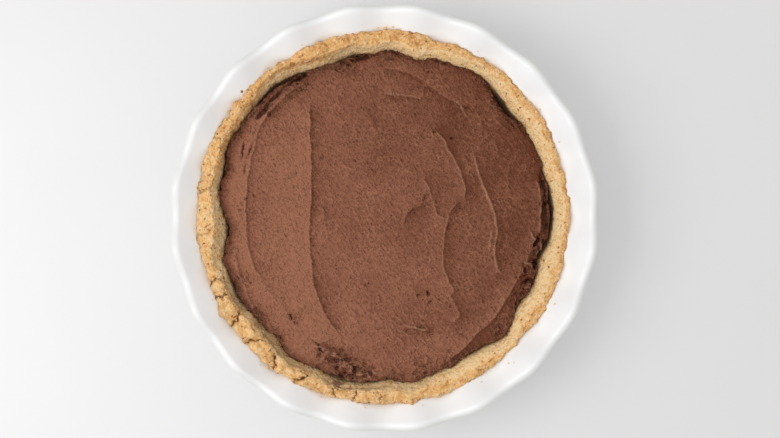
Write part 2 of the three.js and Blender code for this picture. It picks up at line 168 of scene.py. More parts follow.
# Marks of the spatula: (rise, left, right, lip, path). The cream rises towards the path from its left,
# looking along it, by `rise` over `left`, drops at once by a share of that and falls away over
# `right`. A thin `lip` stands along the edge. The path is a curve through its points.
# Each mark is painted lighter on its raised side, with painted shade beside its drop.
STROKES = (
    # a long pull down the left of the middle that bends away at the bottom
    (1.4, 17, 9, 0.25, ((-27, -77), (-34, -68), (-40, -58), (-46, -36), (-48, -8), (-46.5, 20),
     (-47.5, 57), (-48, 78))),
    # the flap that follows the left edge
    (1.3, 8, 7, 0.35, ((-76, -44), (-82, -34), (-87, -20), (-89, 0), (-88.5, 12), (-87, 28), (-83, 47),
     (-79, 60), (-70, 72), (-60, 81), (-49, 88))),
    # the ragged right border of the middle plateau
    (0.75, 12, 6, 0.35, ((40, -70), (45, -66), (48, -61), (45, -55), (42, -50), (44, -46), (40, -38),
     (37.5, -30), (38, -14), (40, -3), (42, 4), (46, 8), (50, 13))),
    (0.9, 9, 7, 0.5, ((50.5, 9), (51.5, 20), (47, 32), (42, 42), (38, 49), (31, 58))),
    # the thin bright lip down the right, and a second one beside it
    (0.55, 9, 6, 0.7, ((75, -36), (72.5, -33), (70.8, -26), (70.5, -18), (72, -8), (71, 0), (67, 12),
     (62, 24), (59, 34), (56, 44))),
    (0.2, 3, 3, 0.45, ((69.5, 3), (65, 15), (61.5, 22))),
    (0.2, 3, 3, 0.55, ((67.5, -19), (68.3, -8))),
    # the folds right of the middle
    (0.6, 7, 5, 0.45, ((40, 0), (35, 1.5), (33, 4), (31, 11), (27.5, 21), (24, 26))),
    (0.7, 8, 5, 0.05, ((11, -5), (14, 2), (19, 6.5), (23.5, 8.5), (25, 13), (27, 19))),
    # the edge of the last pass across the top, and the one under it
    (0.7, 9, 7, 0.15, ((-2, 96.5), (12, 94), (22, 89), (33, 81), (44, 74.5), (56, 70.5))),
    (0.6, 8, 5, 0.4, ((-2, 79.8), (12, 78), (25, 75.5))),
    (0.3, 4, 3, 0.35, ((13, 76), (18, 71))),
    (0.3, 4, 3, 0.6, ((53, 64.5), (50, 70), (45.5, 75))),
    # the slope that the spatula pressed along the lower right edge
    (1.3, 7, 12, 0.2, ((40, -92), (52, -82), (60, -73), (70, -64), (80, -48), (88, -34), (92, -25),
     (97, -8))),
    # torn lumps along the right edge, and the thin skin beside the gap there
    (0.8, 3, 2, 0.8, ((88, -47), (92.5, -43), (95.5, -37), (95, -31.5), (91.5, -28.5), (88, -29))),
    (0.8, 3, 2, 0.8, ((96, -24.5), (100, -20), (99.5, -15), (95.5, -13), (93, -8))),
    (0.5, 5, 2, 0.6, ((99, -11), (99.8, 0), (99.8, 12), (97.5, 26))),
    # the crumpled fold at the lower left
    (1.1, 5, 4, 1.2, ((-2, -99), (-12, -98.5), (-18, -98.5), (-27, -91), (-35, -84.5), (-47, -81))),
    (0.6, 3, 3, 1.0, ((-8, -101), (-16, -103), (-25, -102), (-35, -97.5))),
    (0.4, 2, 2, 0.9, ((-20, -97), (-25, -94), (-29, -95))),
    # the torn rim of the left edge
    (0.9, 3, 5, 0.45, ((-77, -68), (-85, -55), (-91, -40), (-95, -28), (-97, -16))),
    (0.6, 7, 5, 0.15, ((-55, -71), (-62, -61), (-72, -50), (-79, -39))),
    # faint passes of the blade
    (0.5, 6, 9, 0.1, ((-35.5, -16), (-38.5, 0), (-39, 12))),
    (0.4, 6, 7, 0.1, ((-17.5, -75), (-19.5, -58))),
    (0.25, 5, 4, 0.05, ((-50, -15), (-54, -9), (-59.5, -1))),
    (0.35, 5, 4, 0.15, ((73.5, 38), (72, 45), (70, 51))),
    (0.3, 6, 5, 0.1, ((82, 12), (79, 22), (80, 36))),
    (0.35, 5, 4, 0.1, ((-6, 56), (-9, 63), (-12, 70))),
    (0.35, 5, 4, 0.1, ((66, 52), (62, 61), (59, 70))),
    # streaks fanned out round the swirl at the bottom
    (0.3, 2.5, 2, 0.25, ((20, -74), (12, -67), (5, -61))),
    (0.25, 2, 2, 0.25, ((17, -78), (9, -70), (3, -64))),
    (0.2, 2, 2, 0.2, ((13, -80), (6, -74), (0, -67))),
    (0.2, 2, 2, 0.2, ((24, -71), (17, -65), (10, -58))),
    (0.8, 3, 2, 1.0, ((13, -69), (19, -70.5), (24, -72), (28.5, -71.5))),
)
STROKE_PIECES = 24
STROKE_EDGE = 0.6  # width over which the cream drops beside a stroke's edge
STROKE_DROP = 0.6  # share of the rise that drops at once
# the strip beside the drop that gets painted shade
STROKE_SHADOW = 3.0  # width of the moist strip beside the drop
STROKE_FADE = 0.1  # share of its length over which each end dies away
# peaks left where the spatula lifted off, and small hollows: (x, y, height, radius)
PEAKS = (
    (-24, 101.5, 2.6, 2.4), (-27.5, 90, 1.6, 1.5), (25.5, -71, 2.8, 1.7), (29.5, -72.8, -2.2, 1.9),
    (-34, -87, 1.4, 2.4), (-29, -86.5, -1.6, 2.4), (-20, -99.5, 1.4, 2.8), (101, -18, 1.4, 2.6),
    (94, -36, 1.2, 3.2), (96.5, -27.5, -1.6, 2.2), (14.5, -3.5, -0.5, 1.2), (-13.5, -97, 1.0, 2.0),
    (3.5, -86.5, -0.8, 1.2), (24, -93.5, -0.9, 2.2), (43, 46, -0.4, 2.6), (-9, 103, 0.9, 2.2),
)
# slits, torn holes and air pores in the top: (x, y, depth, half length along, half width, heading)
SLITS = (
    (-90.8, 43.5, 2.2, 5.0, 0.55, 82), (-86, 43.5, 1.7, 5.0, 0.5, 66), (-89.3, 32, 1.3, 3.6, 0.45, 86),
    (-51.5, 82, 1.1, 3.0, 0.45, -28), (-42, -82.5, 1.8, 4.6, 0.55, -48), (33, 81, 1.1, 1.6, 0.5, -40),
    (52, 70.8, 1.1, 2.4, 0.45, -18), (-78, 68, 3.4, 4.6, 1.5, 50), (-58, 88, 3.0, 6.6, 1.2, 30),
    (-69, 78.5, 2.8, 5.6, 1.2, 42), (-16, 103.0, 3.4, 5.0, 1.9, 4), (-27, -101.5, 2.6, 3.2, 1.2, 4),
    (-9.5, -99.5, 2.0, 2.4, 0.8, -30), (23, -69.6, 1.4, 2.6, 0.5, -14), (-60, -62.5, 1.4, 2.2, 0.6, -44),
    (-57.5, -67, 1.0, 2.2, 0.4, -50), (45, 7.2, 1.2, 4.8, 0.4, 50), (17, 4.5, 0.9, 3.2, 0.4, 44),
    (40.6, -5, 1.2, 2.6, 0.5, -80), (98, -14.5, 2.6, 2.2, 1.2, 70), (102.4, 4, 3.2, 11, 1.8, 90),
    (100.6, 23, 2.4, 5, 1.2, 104), (96.5, -28.5, 3.0, 2.6, 1.2, 60),
    (92, -39.5, 1.4, 1.4, 0.8, 30), (24.8, 12.5, 1.0, 3.2, 0.4, 84), (21.5, -49, 1.4, 0.7, 0.7, 0),
    (32, 55.5, 1.9, 0.6, 0.7, -40), (43, 51, 1.9, 0.5, 0.85, 0), (27.5, -48, 1.9, 0.9, 0.9, -60),
    (29, -53.5, 1.5, 0.2, 0.75, 0), (35, -52, 1.5, 0.2, 0.7, 0), (-88.6, 12.3, 1.5, 0.2, 0.8, 0),
    (28, 93.5, 1.3, 0.2, 0.6, 0), (22.5, -30, 0.9, 1.2, 0.4, 55), (48, 6, 0.9, 0.2, 0.6, 0),
    (-40, 38.5, 1.0, 0.2, 0.6, 0), (-58, 20, 1.0, 0.8, 0.5, 80), (-70, 34, 0.9, 1.0, 0.4, 88),
    (55, -43.5, 1.0, 0.6, 0.5, 30), (-18, 36.5, 0.8, 0.3, 0.6, 0), (-12, -43, 0.9, 0.4, 0.6, 0),
)
# torn and crumpled places: (x, y, amount, radius)
CRUMPLES = (
    (-24, 100, 1.5, 9), (-54, 88, 1.2, 8), (-75, 70, 1.2, 7), (-64, 80, 0.9, 6), (-30, -91, 1.4, 9),
    (-17, -99, 1.7, 9), (-39, -86, 1.1, 6), (100, -18, 1.6, 7), (95, -36, 1.6, 9), (88, -50, 1.0, 7),
    (74, -72, 0.8, 8), (42, -92, 1.0, 7), (24, -97, 1.1, 8), (6, -101, 0.9, 7), (-92, -38, 0.9, 7),
    (-81, -62, 1.0, 7), (-68, -76, 0.8, 7), (-98, -20, 0.9, 5), (-101, 32, 0.8, 6), (-92, 56, 0.9, 7),
    (4, 104, 1.1, 7), (70, 75, 0.7, 6), (82, 62, 0.9, 7), (-59, -64, 0.8, 5), (46, 72, 0.6, 5),
    (100, 8, 0.6, 5), (30, 100, 0.6, 7), (10, -70, 0.5, 8), (42, -56, 0.5, 5),
)


# ---- Settings ----


def srgb(code):
    """Linear RGBA of an sRGB hex colour."""
    channels = [int(code[i : i + 2], 16) / 255 for i in (1, 3, 5)]
    linear = [c / 12.92 if c <= 0.04045 else ((c + 0.055) / 1.055) ** 2.4 for c in channels]
    return (*linear, 1.0)


def colour_property(name, description, code):
    """A colour setting whose default is an sRGB hex colour."""
    return FloatVectorProperty(
        name=name, description=description, subtype="COLOR", size=4, min=0, max=1, default=srgb(code)
    )


def length_property(name, description, millimetres):
    """A setting for a length."""
    return FloatProperty(name=name, description=description, unit="LENGTH", default=millimetres * MM)


class DishSettings(PropertyGroup):
    ruffles: IntProperty(
        name="Ruffles", description="Soft waves round the wall and the lip", default=20, min=4
    )
    first_ruffle: FloatProperty(
        name="First Ruffle", description="Angle of one crest", subtype="ANGLE",
        default=math.radians(9),
    )
    push: length_property("Push", "How far a ruffle moves the wall, square to it", 2.1)
    lift: length_property("Lift", "How far a ruffle moves the lip, along the wall", 2.6)
    thickness: length_property("Wall", "Thickness of the wall", 6)
    segments: IntProperty(name="Segments", description="Steps round the dish", default=640, min=40)
    glaze: colour_property("Glaze", "Colour of the glaze", "#F9FAFB")
    # painted shade over the lip's outside
    glaze_lip_shade: colour_property("Thin Glaze", "Colour of the glaze where it ran thin", "#E3E3E1")


class CrustSettings(PropertyGroup):
    steps: IntProperty(name="Steps", description="Steps round the rim", default=1280, min=60)
    lumps: length_property("Lumps", "Height of the rounded lumps of dough", 0.9)
    knobs: length_property("Knobs", "Unevenness of each lump", 0.9)
    grains: length_property("Grains", "Height of the ground nuts", 0.35)
    crumbs: FloatProperty(name="Crumbs", description="Loose grains on a square metre", default=90000)
    smallest: length_property("Smallest", "Size of the smallest loose grain", 0.5)
    largest: length_property("Largest", "Size of the largest loose grain", 1.6)
    seed: IntProperty(name="Seed", description="Draw of the loose grains", default=7)
    pale: colour_property("Pale", "Dough that hardly browned", "#EECB97")
    baked: colour_property("Baked", "Golden dough", "#E9B676")
    toasted: colour_property("Toasted", "Edges that browned most", "#C08449")
    nut: colour_property("Nut", "Bare grains of nut", "#F6E3C2")
    skin: colour_property("Nut Skin", "Flecks of nut skin", "#94582F")
    # painted shade: the colour of the cracks, the creases between lumps and the slopes and wall turned from
    # the light
    shade_brown: colour_property("Crack", "Crumbs down in the cracks", "#6E4526")
    smear: colour_property("Smear", "Chocolate wiped on the rim", "#6B4030")
    # chocolate on the wall beside the filling, darkened further as painted shadow in the gap
    deep: colour_property("Deep", "Chocolate left on the wall beside the filling", "#3A2015")


class FillingSettings(PropertyGroup):
    rings: IntProperty(name="Rings", description="Rings of the top surface", default=178, min=20)
    fresh: colour_property("Fresh", "Filling that is still fatty", "#6A3B27")
    # the lighter colour, laid on by painted light as well as by the cream's dry bloom
    dry: colour_property("Dry", "Filling with a dry bloom", "#9B664E")
    # painted highlight along the lips of the strokes and the tops of torn ridges
    crest: colour_property("Crest", "Thin ridges of filling, dried right through", "#BE8B70")
    # painted shade in holes and furrows, beside the pastry and down the sides
    torn_and_shaded: colour_property("Damp", "Torn and shaded places", "#4E2A1C")


class StageSettings(PropertyGroup):
    lens: FloatProperty(name="Lens", description="Focal length in millimetres", default=50.0)
    camera_height: length_property("Camera Height", "Height of the lens above the table", 723)
    camera_x: length_property("Camera Right", "Where the view is centred", 3.44)
    camera_y: length_property("Camera Far", "Where the view is centred", -0.63)
    window_power: FloatProperty(
        name="Window", description="Power of the large soft light", unit="POWER", default=2.62
    )
    window_size: length_property("Window Size", "Width of the large soft light", 600)
    window_distance: length_property("Window Distance", "From the dish to the light", 850)
    window_heading: FloatProperty(
        name="Window Heading", description="Where the light stands, seen from above",
        subtype="ANGLE", default=math.radians(188),
    )
    window_elevation: FloatProperty(
        name="Window Elevation", description="How high the light stands", subtype="ANGLE",
        default=math.radians(47),
    )
    room: FloatProperty(name="Room", description="Strength of the even light", default=0.8)
    floor: colour_property("Floor", "Colour of the table top", "#E7E6E6")
    floor_deep: colour_property("Deeper Floor", "Faint clouds of the table top", "#E4E3E3")


class TartSettings(PropertyGroup):
    dish: PointerProperty(type=DishSettings)
    crust: PointerProperty(type=CrustSettings)
    filling: PointerProperty(type=FillingSettings)
    stage: PointerProperty(type=StageSettings)


# ---- Shape functions ----


def smoothstep(value, low, high):
    """0 below low, 1 above high and a smooth rise between them."""
    t = np.clip((value - low) / (high - low), 0, 1)
    return t * t * (3 - 2 * t)


def turn_between(start, end):
    """Smallest signed turn from one angle to another."""
    return (end - start + TURN / 2) % TURN - TURN / 2


def bell(offset, half_width):
    """A soft bump, 1 where the offset is nothing and fading on both sides."""
    return np.exp(-((offset / half_width) ** 2))


def bumps_at(theta, bumps):
    """Sum of soft bumps (angle, height, half width) spread round the turn."""
    total = np.zeros_like(theta)
    for angle, height, half_width in bumps:
        total += height * bell(turn_between(angle, theta), half_width)
    return total


def mounds_at(x, y, mounds):
    """Sum of round, soft mounds (x, y, height, radius) on the plane."""
    total = np.zeros_like(x)
    for middle_x, middle_y, height, radius in mounds:
        total += height * np.exp(-((x - middle_x) ** 2 + (y - middle_y) ** 2) / radius**2)
    return total


def waviness(theta, lowest, highest, seed):
    """Even waviness round the turn, about -1 to 1, from harmonics with scattered phases."""
    total = np.zeros_like(theta)
    for k in range(lowest, highest + 1):
        total += np.cos(np.radians(k * theta) + seed * k * k)
    return total / math.sqrt(highest - lowest + 1)


def swell(x, y, wavelength, seed, waves=7):
    """Soft unevenness over the plane, about -1 to 1, from waves that run in scattered directions."""
    total = np.zeros_like(x)
    for i in range(waves):
        heading = seed + i * 2.4
        length = wavelength * (0.7 + 0.1 * i)
        along = x * math.cos(heading) + y * math.sin(heading)
        total += np.cos(2 * math.pi * along / length + seed * i * i)
    return total / math.sqrt(waves)


def wall_radius(z):
    """Radius of the dish's inner wall, before it is ruffled."""
    rise = z - FLOOR_TOP
    return WALL_FOOT_RADIUS + WALL_LEAN * rise + WALL_FLARE * (rise / (WALL_TOP - FLOOR_TOP)) ** 2


def wall_up(z):
    """Unit vector up along the wall, in radius and height."""
    run = WALL_LEAN + 2 * WALL_FLARE * (z - FLOOR_TOP) / (WALL_TOP - FLOOR_TOP) ** 2
    length = np.sqrt(run * run + 1)
    return run / length, 1 / length


def wall_point(z, inset):
    """Radius and height of the point of the wall at z, moved inwards square to the wall."""
    up_r, up_z = wall_up(z)
    return wall_radius(z) - inset * up_z, z + inset * up_r


def ruffled(radius, z, theta, dish):
    """Moves points of the dish's wall, or of what is pressed against it, by the ruffle there."""
    up_r, up_z = wall_up(np.clip(z, FLOOR_TOP, WALL_TOP))
    wave = np.cos(dish.ruffles * (np.radians(theta) - dish.first_ruffle))
    push = wave * dish.push / MM * smoothstep(z, *PUSH_SPAN)
    lift = wave * dish.lift / MM * smoothstep(z, *LIFT_SPAN)
    return radius - push * up_z + lift * up_r, z + push * up_r + lift * up_z


def corner_points(inset, run, pieces):
    """The rounding between a floor and the wall, as (radius, height) from the floor up."""
    foot_r, foot_z = wall_point(FLOOR_TOP, inset)
    up_r, up_z = wall_up(FLOOR_TOP)
    floor = FLOOR_TOP + inset
    corner = np.array((foot_r + up_r * (floor - foot_z) / up_z, floor))
    start = corner - (run, 0)
    end = corner + run * np.array((up_r, up_z))
    shares = np.linspace(0, 1, pieces + 1)[:, None]
    return (1 - shares) ** 2 * start + 2 * shares * (1 - shares) * corner + shares**2 * end


def crest_height(theta):
    """Height of the top of the pastry rim, without its cracks."""
    tilt = CREST_TILT * np.cos(np.radians(theta - CREST_HIGH_SIDE))
    return CREST_HEIGHT + tilt + CREST_UNEVENNESS * waviness(theta, 9, 40, 1.7)


def inner_wall_radius(theta, z):
    """Radius of the pastry's inner wall, where the filling touches it."""
    even = wall_radius(z) - (GAP + CRUST_THICKNESS) / wall_up(z)[1]
    pressed = (
        INNER_WALL_SHIFT
        + INNER_WALL_TILT * np.cos(np.radians(theta - INNER_WALL_FAR_SIDE))
        + bumps_at(theta, CRUST_LOBES)
        + ROUGHNESS * waviness(theta, 12, 30, 0.9)
    )
    return even + pressed * smoothstep(z, *PRESS_SPAN)


def filling_radius(theta):
    """Radius of the filling's top edge."""
    return (
        inner_wall_radius(theta, FILLING_HEIGHT - EDGE_DROP)
        - EDGE_CLEARANCE
        - bumps_at(theta, PULLBACKS)
        - ROUGHNESS * (1 + waviness(theta, 25, 60, 3.1))
    )


def smooth_curve(knots, count):
    """Points along a smooth curve through a list of knots, or through many such lists at once."""
    ends = np.concatenate(((2 * knots[0] - knots[1])[None], knots, (2 * knots[-1] - knots[-2])[None]))
    shares = np.linspace(0, len(knots) - 1, count)
    first = np.minimum(shares.astype(int), len(knots) - 2)
    t = (shares - first).reshape((-1,) + (1,) * (knots.ndim - 1))
    p0, p1, p2, p3 = (ends[first + i] for i in range(4))
    return 0.5 * (
        2 * p1
        + (p2 - p0) * t
        + (2 * p0 - 5 * p1 + 4 * p2 - p3) * t**2
        + (3 * p1 - p0 - 3 * p2 + p3) * t**3
    )


def beside_path(path, x, y):
    """Signed distance of points to a path, positive on its left, and the share of its length."""
    best = np.full_like(x, np.inf)
    share = np.zeros_like(x)
    for i, (a, b) in enumerate(zip(path[:-1], path[1:])):
        dx, dy = b - a
        along = np.clip(((x - a[0]) * dx + (y - a[1]) * dy) / (dx * dx + dy * dy), 0, 1)
        px, py = x - a[0] - along * dx, y - a[1] - along * dy
        distance = np.hypot(px, py)
        nearer = distance < np.abs(best)
        best = np.where(nearer, np.where(dx * py - dy * px >= 0, distance, -distance), best)
        share = np.where(nearer, (i + along) / (len(path) - 1), share)
    return best, share


def stroke_relief(stroke, x, y):
    """Height that one mark of the spatula adds, the painted light and shade beside it, and its lip."""
    rise, left_reach, right_reach, lip_height, path = stroke
    distance, share = beside_path(smooth_curve(np.array(path, float), STROKE_PIECES), x, y)
    ends = smoothstep(share, 0, STROKE_FADE) * smoothstep(1 - share, 0, STROKE_FADE)
    left, right = bell(distance, left_reach), bell(distance, right_reach)
    drop, beside = bell(distance, STROKE_EDGE), bell(distance, STROKE_SHADOW)
    raised = np.where(distance > 0, left, (1 - STROKE_DROP) * right + STROKE_DROP * drop)
    # painted light on the raised side, painted shade on the falling side and in the strip beside the drop
    painted_light = rise * np.where(distance > 0, left, -right - beside)
    lip = ends * lip_height * bell(distance - STROKE_EDGE / 2, STROKE_EDGE)
    return ends * rise * raised + lip, ends * painted_light, lip


def slit_depth(slit, x, y):
    """Depth of one slit, hole or pore."""
    cx, cy, depth, half_length, half_width, heading = slit
    ux, uy = math.cos(math.radians(heading)), math.sin(math.radians(heading))
    along = (x - cx) * ux + (y - cy) * uy
    across = (y - cy) * ux - (x - cx) * uy
    reach = (along / (half_length + half_width)) ** 2 + (across / half_width) ** 2
    return depth * np.exp(-(reach**1.5))


def noise_at(points, scale, kind):
    """Values of one of mathutils' noises at points in millimetres, with features `scale` across."""
    return np.array([kind(Vector(p)) for p in (points / scale).tolist()])


def raggedness(theta, radius, grains):
    """Unevenness of a torn edge at these angles, from grains of several kinds: (amount, size)."""
    radians = np.radians(theta)
    edge = radius * np.stack((np.cos(radians), np.sin(radians), 0 * radians), axis=-1)
    return sum(amount * noise_at(edge, size, noise.noise) for amount, size in grains)


def torn(point):
    """Thin, sharp ridges of cream torn by the blade, with broad furrows between them."""
    return 1 - 2.4 * abs(noise.noise(point))


def lump(point):
    """Rounded lumps of dough with creases between them, 0 in a crease to 1 on a lump."""
    nearest, second = noise.voronoi(point)[0][:2]
    return min(1.0, (second - nearest) / 0.45)


def grain(point):
    """Round grains, 1 in the middle of each."""
    return 1 - 1.7 * noise.voronoi(point)[0][0]


def crumbly(point):
    """Unevenness of every size from the largest down."""
    return noise.fractal(point, 0.6, 2.1, 4)


def filling_relief(x, y, edge):
    """Height of the filling's top, the painted light and shade beside its strokes, the painted highlight on
    its lips and ridges, the painted shade in its holes and furrows, and how crumpled it is, at points of
    the plane."""
    radius = np.hypot(x, y)
    share = radius / edge
    place = np.stack((x, y, np.zeros_like(x)), axis=-1)
    fine = noise_at(place + 31, 2.2, noise.noise)
    crumpled = mounds_at(x, y, CRUMPLES) + TORN_BORDER * smoothstep(radius, edge - BORDER_WIDTH, edge)
    crumpled = np.minimum(crumpled, MOST_CRUMPLED)
    wander = 0.8 * noise_at(place, 7, noise.noise) + (0.25 + 0.9 * crumpled) * fine
    height = FILLING_HEIGHT + FILLING_DOME * (1 - share**2)
    height += BROAD_SWELL * swell(x, y, 60, 1.3) + FINE_SWELL * swell(x, y, 22, 4.2)
    # painted light and shade beside the strokes gather here, and a painted highlight along their lips
    pale = np.zeros_like(x)
    thin = np.zeros_like(x)
    for stroke in STROKES:
        raised, painted_light, lip = stroke_relief(stroke, x + wander, y + wander)
        height += raised
        pale += painted_light
        thin += lip
    height += mounds_at(x, y, PEAKS)
    fray = (1 + 1.6 * crumpled) * fine
    depth = sum(slit_depth(slit, x + fray, y + fray) for slit in SLITS)
    # the torn ridges run along the edge
    drawn = np.stack((RIDGE_TURN * np.arctan2(y, x), radius, np.zeros_like(x)), axis=-1)
    ridges = 0.6 * noise_at(drawn, 3.2, torn) + 0.4 * noise_at(drawn + 57, 1.9, torn)
    clumps = noise_at(drawn + 11, 3.6, crumbly)
    height += crumpled * (2.4 * clumps + 2.2 * (ridges - 0.55) + 0.4 * fine)
    # painted highlight on the tops of the torn ridges
    thin += 0.25 * crumpled * smoothstep(ridges, 0.75, 0.95)
    dragged = np.stack(((x + y) * SLANT, (y - x) * SLANT / SKIN_DRAG, np.zeros_like(x)), axis=-1)
    height += SKIN_RELIEF * noise_at(dragged, 2.6, noise.noise)
    height += 1.4 * SKIN_RELIEF * noise_at(place, 7.0, noise.noise)
    # crumbs of cream left standing in some patches
    patches = smoothstep(noise_at(place + 7, 15, crumbly), 0.0, 0.35)
    height += CRUMB_HEIGHT * patches * smoothstep(fine, 0.0, 0.45)
    height -= depth + EDGE_DROP * smoothstep(radius, edge - EDGE_ROLL, edge) ** 2
    # painted shade in the slits, holes and furrows between the torn ridges
    furrows = crumpled * smoothstep(ridges + clumps, 0.3, -0.2)
    hole_and_furrow_shade = np.clip(0.8 * depth + 0.5 * furrows - 0.2, 0, 1)
    return height, pale, np.clip(thin, 0, 1) * (1 - hole_and_furrow_shade), hole_and_furrow_shade, crumpled


# ---- Meshes ----


def new_object(name, vertices, faces, smooth=True):
    """An object at the origin whose mesh has these vertices, in millimetres, and faces."""
    mesh = bpy.data.meshes.new(name)
    mesh.from_pydata((np.asarray(vertices) * MM).tolist(), [], faces)
    mesh.polygons.foreach_set("use_smooth", [smooth] * len(mesh.polygons))
    mesh.update()
    piece = bpy.data.objects.new(name, mesh)
    bpy.context.scene.collection.objects.link(piece)
    return piece


def keep_shell(name, shell):
    """An object with the shape of a bmesh in metres, which is freed."""
    piece = new_object(name, [], [])
    shell.to_mesh(piece.data)
    shell.free()
    return piece


def add_attribute(piece, name, values):
    """A number for each vertex of a piece, for its material to read."""
    attribute = piece.data.attributes.new(name, "FLOAT", "POINT")
    attribute.data.foreach_set("value", np.asarray(values, np.float32))


def ring_faces(columns, rows):
    """Quads of a closed band whose vertices run column by column, facing out of a section that
    runs from the axis below to the axis above, with its two ends as fans round a pole."""
    faces = []
    poles = (columns * rows, columns * rows + 1)
    for i in range(columns):
        here, after = i * rows, (i + 1) % columns * rows
        faces.append((poles[0], after, here))
        faces += [(here + j, after + j, after + j + 1, here + j + 1) for j in range(rows - 1)]
        faces.append((here + rows - 1, after + rows - 1, poles[1]))
    return faces


def finish_piece(piece, node, material):
    """Gives a piece its material and its place in the frame."""
    if material is not None:
        piece.data.materials.clear()
        piece.data.materials.append(material)
    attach(piece, BODY)
    if node:
        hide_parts(node)


# ---- Nodes ----


def add_node(tree, kind, inputs=None, output=0, **settings):
    """Adds a node with its settings and returns one of its outputs, or the node if it has none. An
    input is a value, or another node's output to link."""
    node = tree.nodes.new(kind)
    for name, value in settings.items():
        setattr(node, name, value)
    for name, value in (inputs or {}).items():
        if isinstance(value, bpy.types.NodeSocket):
            tree.links.new(value, node.inputs[name])
        else:
            node.inputs[name].default_value = value
    return node.outputs[output] if node.outputs else node


def new_geometry_tree(name, sockets):
    """A Geometry Nodes tree with named inputs, (name, kind), and the outputs of its input node."""
    tree = bpy.data.node_groups.new(name, "GeometryNodeTree")
    tree.interface.new_socket("Geometry", in_out="INPUT", socket_type="NodeSocketGeometry")
    for label, kind in sockets:
        tree.interface.new_socket(label, in_out="INPUT", socket_type=kind)
    tree.interface.new_socket("Geometry", in_out="OUTPUT", socket_type="NodeSocketGeometry")
    return tree, add_node(tree, "NodeGroupInput").node.outputs


def finish_tree(tree, geometry, material):
    """Realizes the instances and sets the material at the end of a tree."""
    real = add_node(tree, "GeometryNodeRealizeInstances", {"Geometry": geometry})
    painted = add_node(tree, "GeometryNodeSetMaterial", {"Geometry": real, "Material": material})
    add_node(tree, "NodeGroupOutput", {"Geometry": painted})


def apply_tree(piece, tree, values):
    """Runs a tree on a piece, with values for its inputs by their names, and keeps its result as
    the piece's plain mesh."""
    modifier = piece.modifiers.new(tree.name, "NODES")
    modifier.node_group = tree
    for item in tree.interface.items_tree:
        if item.in_out == "INPUT" and item.name in values:
            modifier[item.identifier] = values[item.name]
    depsgraph = bpy.context.evaluated_depsgraph_get()
    mesh = bpy.data.meshes.new_from_object(piece.evaluated_get(depsgraph), depsgraph=depsgraph)
    piece.modifiers.clear()
    piece.data = mesh
    if not mesh.polygons:
        raise RuntimeError(f"{piece.name} came out of its tree empty")


# ---- Materials ----


def new_material(name, **sockets):
    """An empty node material, with values for its shader's own sockets: the material, its tree,
    its shader and the Object coordinates in metres."""
    material = bpy.data.materials.new(name)
    material.use_nodes = True
    tree = material.node_tree
    tree.nodes.clear()
    surface = add_node(tree, "ShaderNodeBsdfPrincipled")
    add_node(tree, "ShaderNodeOutputMaterial", {"Surface": surface})
    for socket, value in sockets.items():
        surface.node.inputs[socket.replace("_", " ")].default_value = value
    return material, tree, surface.node, add_node(tree, "ShaderNodeTexCoord", output="Object")


# over these radii the lip is painted darker, painted shade
SHADED_LIP_RADII = (129.0, 133.0)  # radii over which the glaze runs thin


def per_mm(size):
    """Scale of a texture whose features are `size` millimetres, on coordinates in metres."""
    return 1 / (size * MM)


def glazed_stoneware(settings):
    """White glaze fired over stoneware: a smooth coat whose broad, soft highlights are slightly
    broken by a faint orange peel."""
    material, tree, shader, place = new_material(
        "white_glazed_stoneware", Roughness=0.4, IOR=1.5, Coat_Weight=0.1, Coat_Roughness=0.3
    )
    # the glaze pools and thins over some 60 mm; the outside of the lip is painted darker, painted shade
    # against the light that falls on it
    pooled = add_node(tree, "ShaderNodeTexNoise", {"Vector": place, "Scale": per_mm(60), "Detail": 2.0})
    cloud = add_node(
        tree, "ShaderNodeMapRange", {"Value": pooled, "From Min": 0.35, "From Max": 0.65, "To Max": 0.15}
    )
    flat = add_node(tree, "ShaderNodeVectorMath", {0: place, 1: (1.0, 1.0, 0.0)}, operation="MULTIPLY")
    radius = add_node(tree, "ShaderNodeVectorMath", {0: flat}, 1, operation="LENGTH")
    inside, outside = (edge * MM for edge in SHADED_LIP_RADII)
    lip = add_node(tree, "ShaderNodeMapRange", {"Value": radius, "From Min": inside, "From Max": outside})
    cloud = add_node(tree, "ShaderNodeMath", {0: cloud, 1: lip}, operation="MAXIMUM")
    colour = add_node(
        tree, "ShaderNodeMix", {0: cloud, 6: settings.glaze[:], 7: settings.glaze_lip_shade[:]}, 2,
        data_type="RGBA",
    )
    peel = add_node(tree, "ShaderNodeTexNoise", {"Vector": place, "Scale": per_mm(9), "Detail": 2.0})
    relief = add_node(tree, "ShaderNodeBump", {"Height": peel, "Strength": 0.12, "Distance": 0.3 * MM})
    tree.links.new(colour, shader.inputs["Base Color"])
    tree.links.new(relief, shader.inputs["Normal"])
    return material


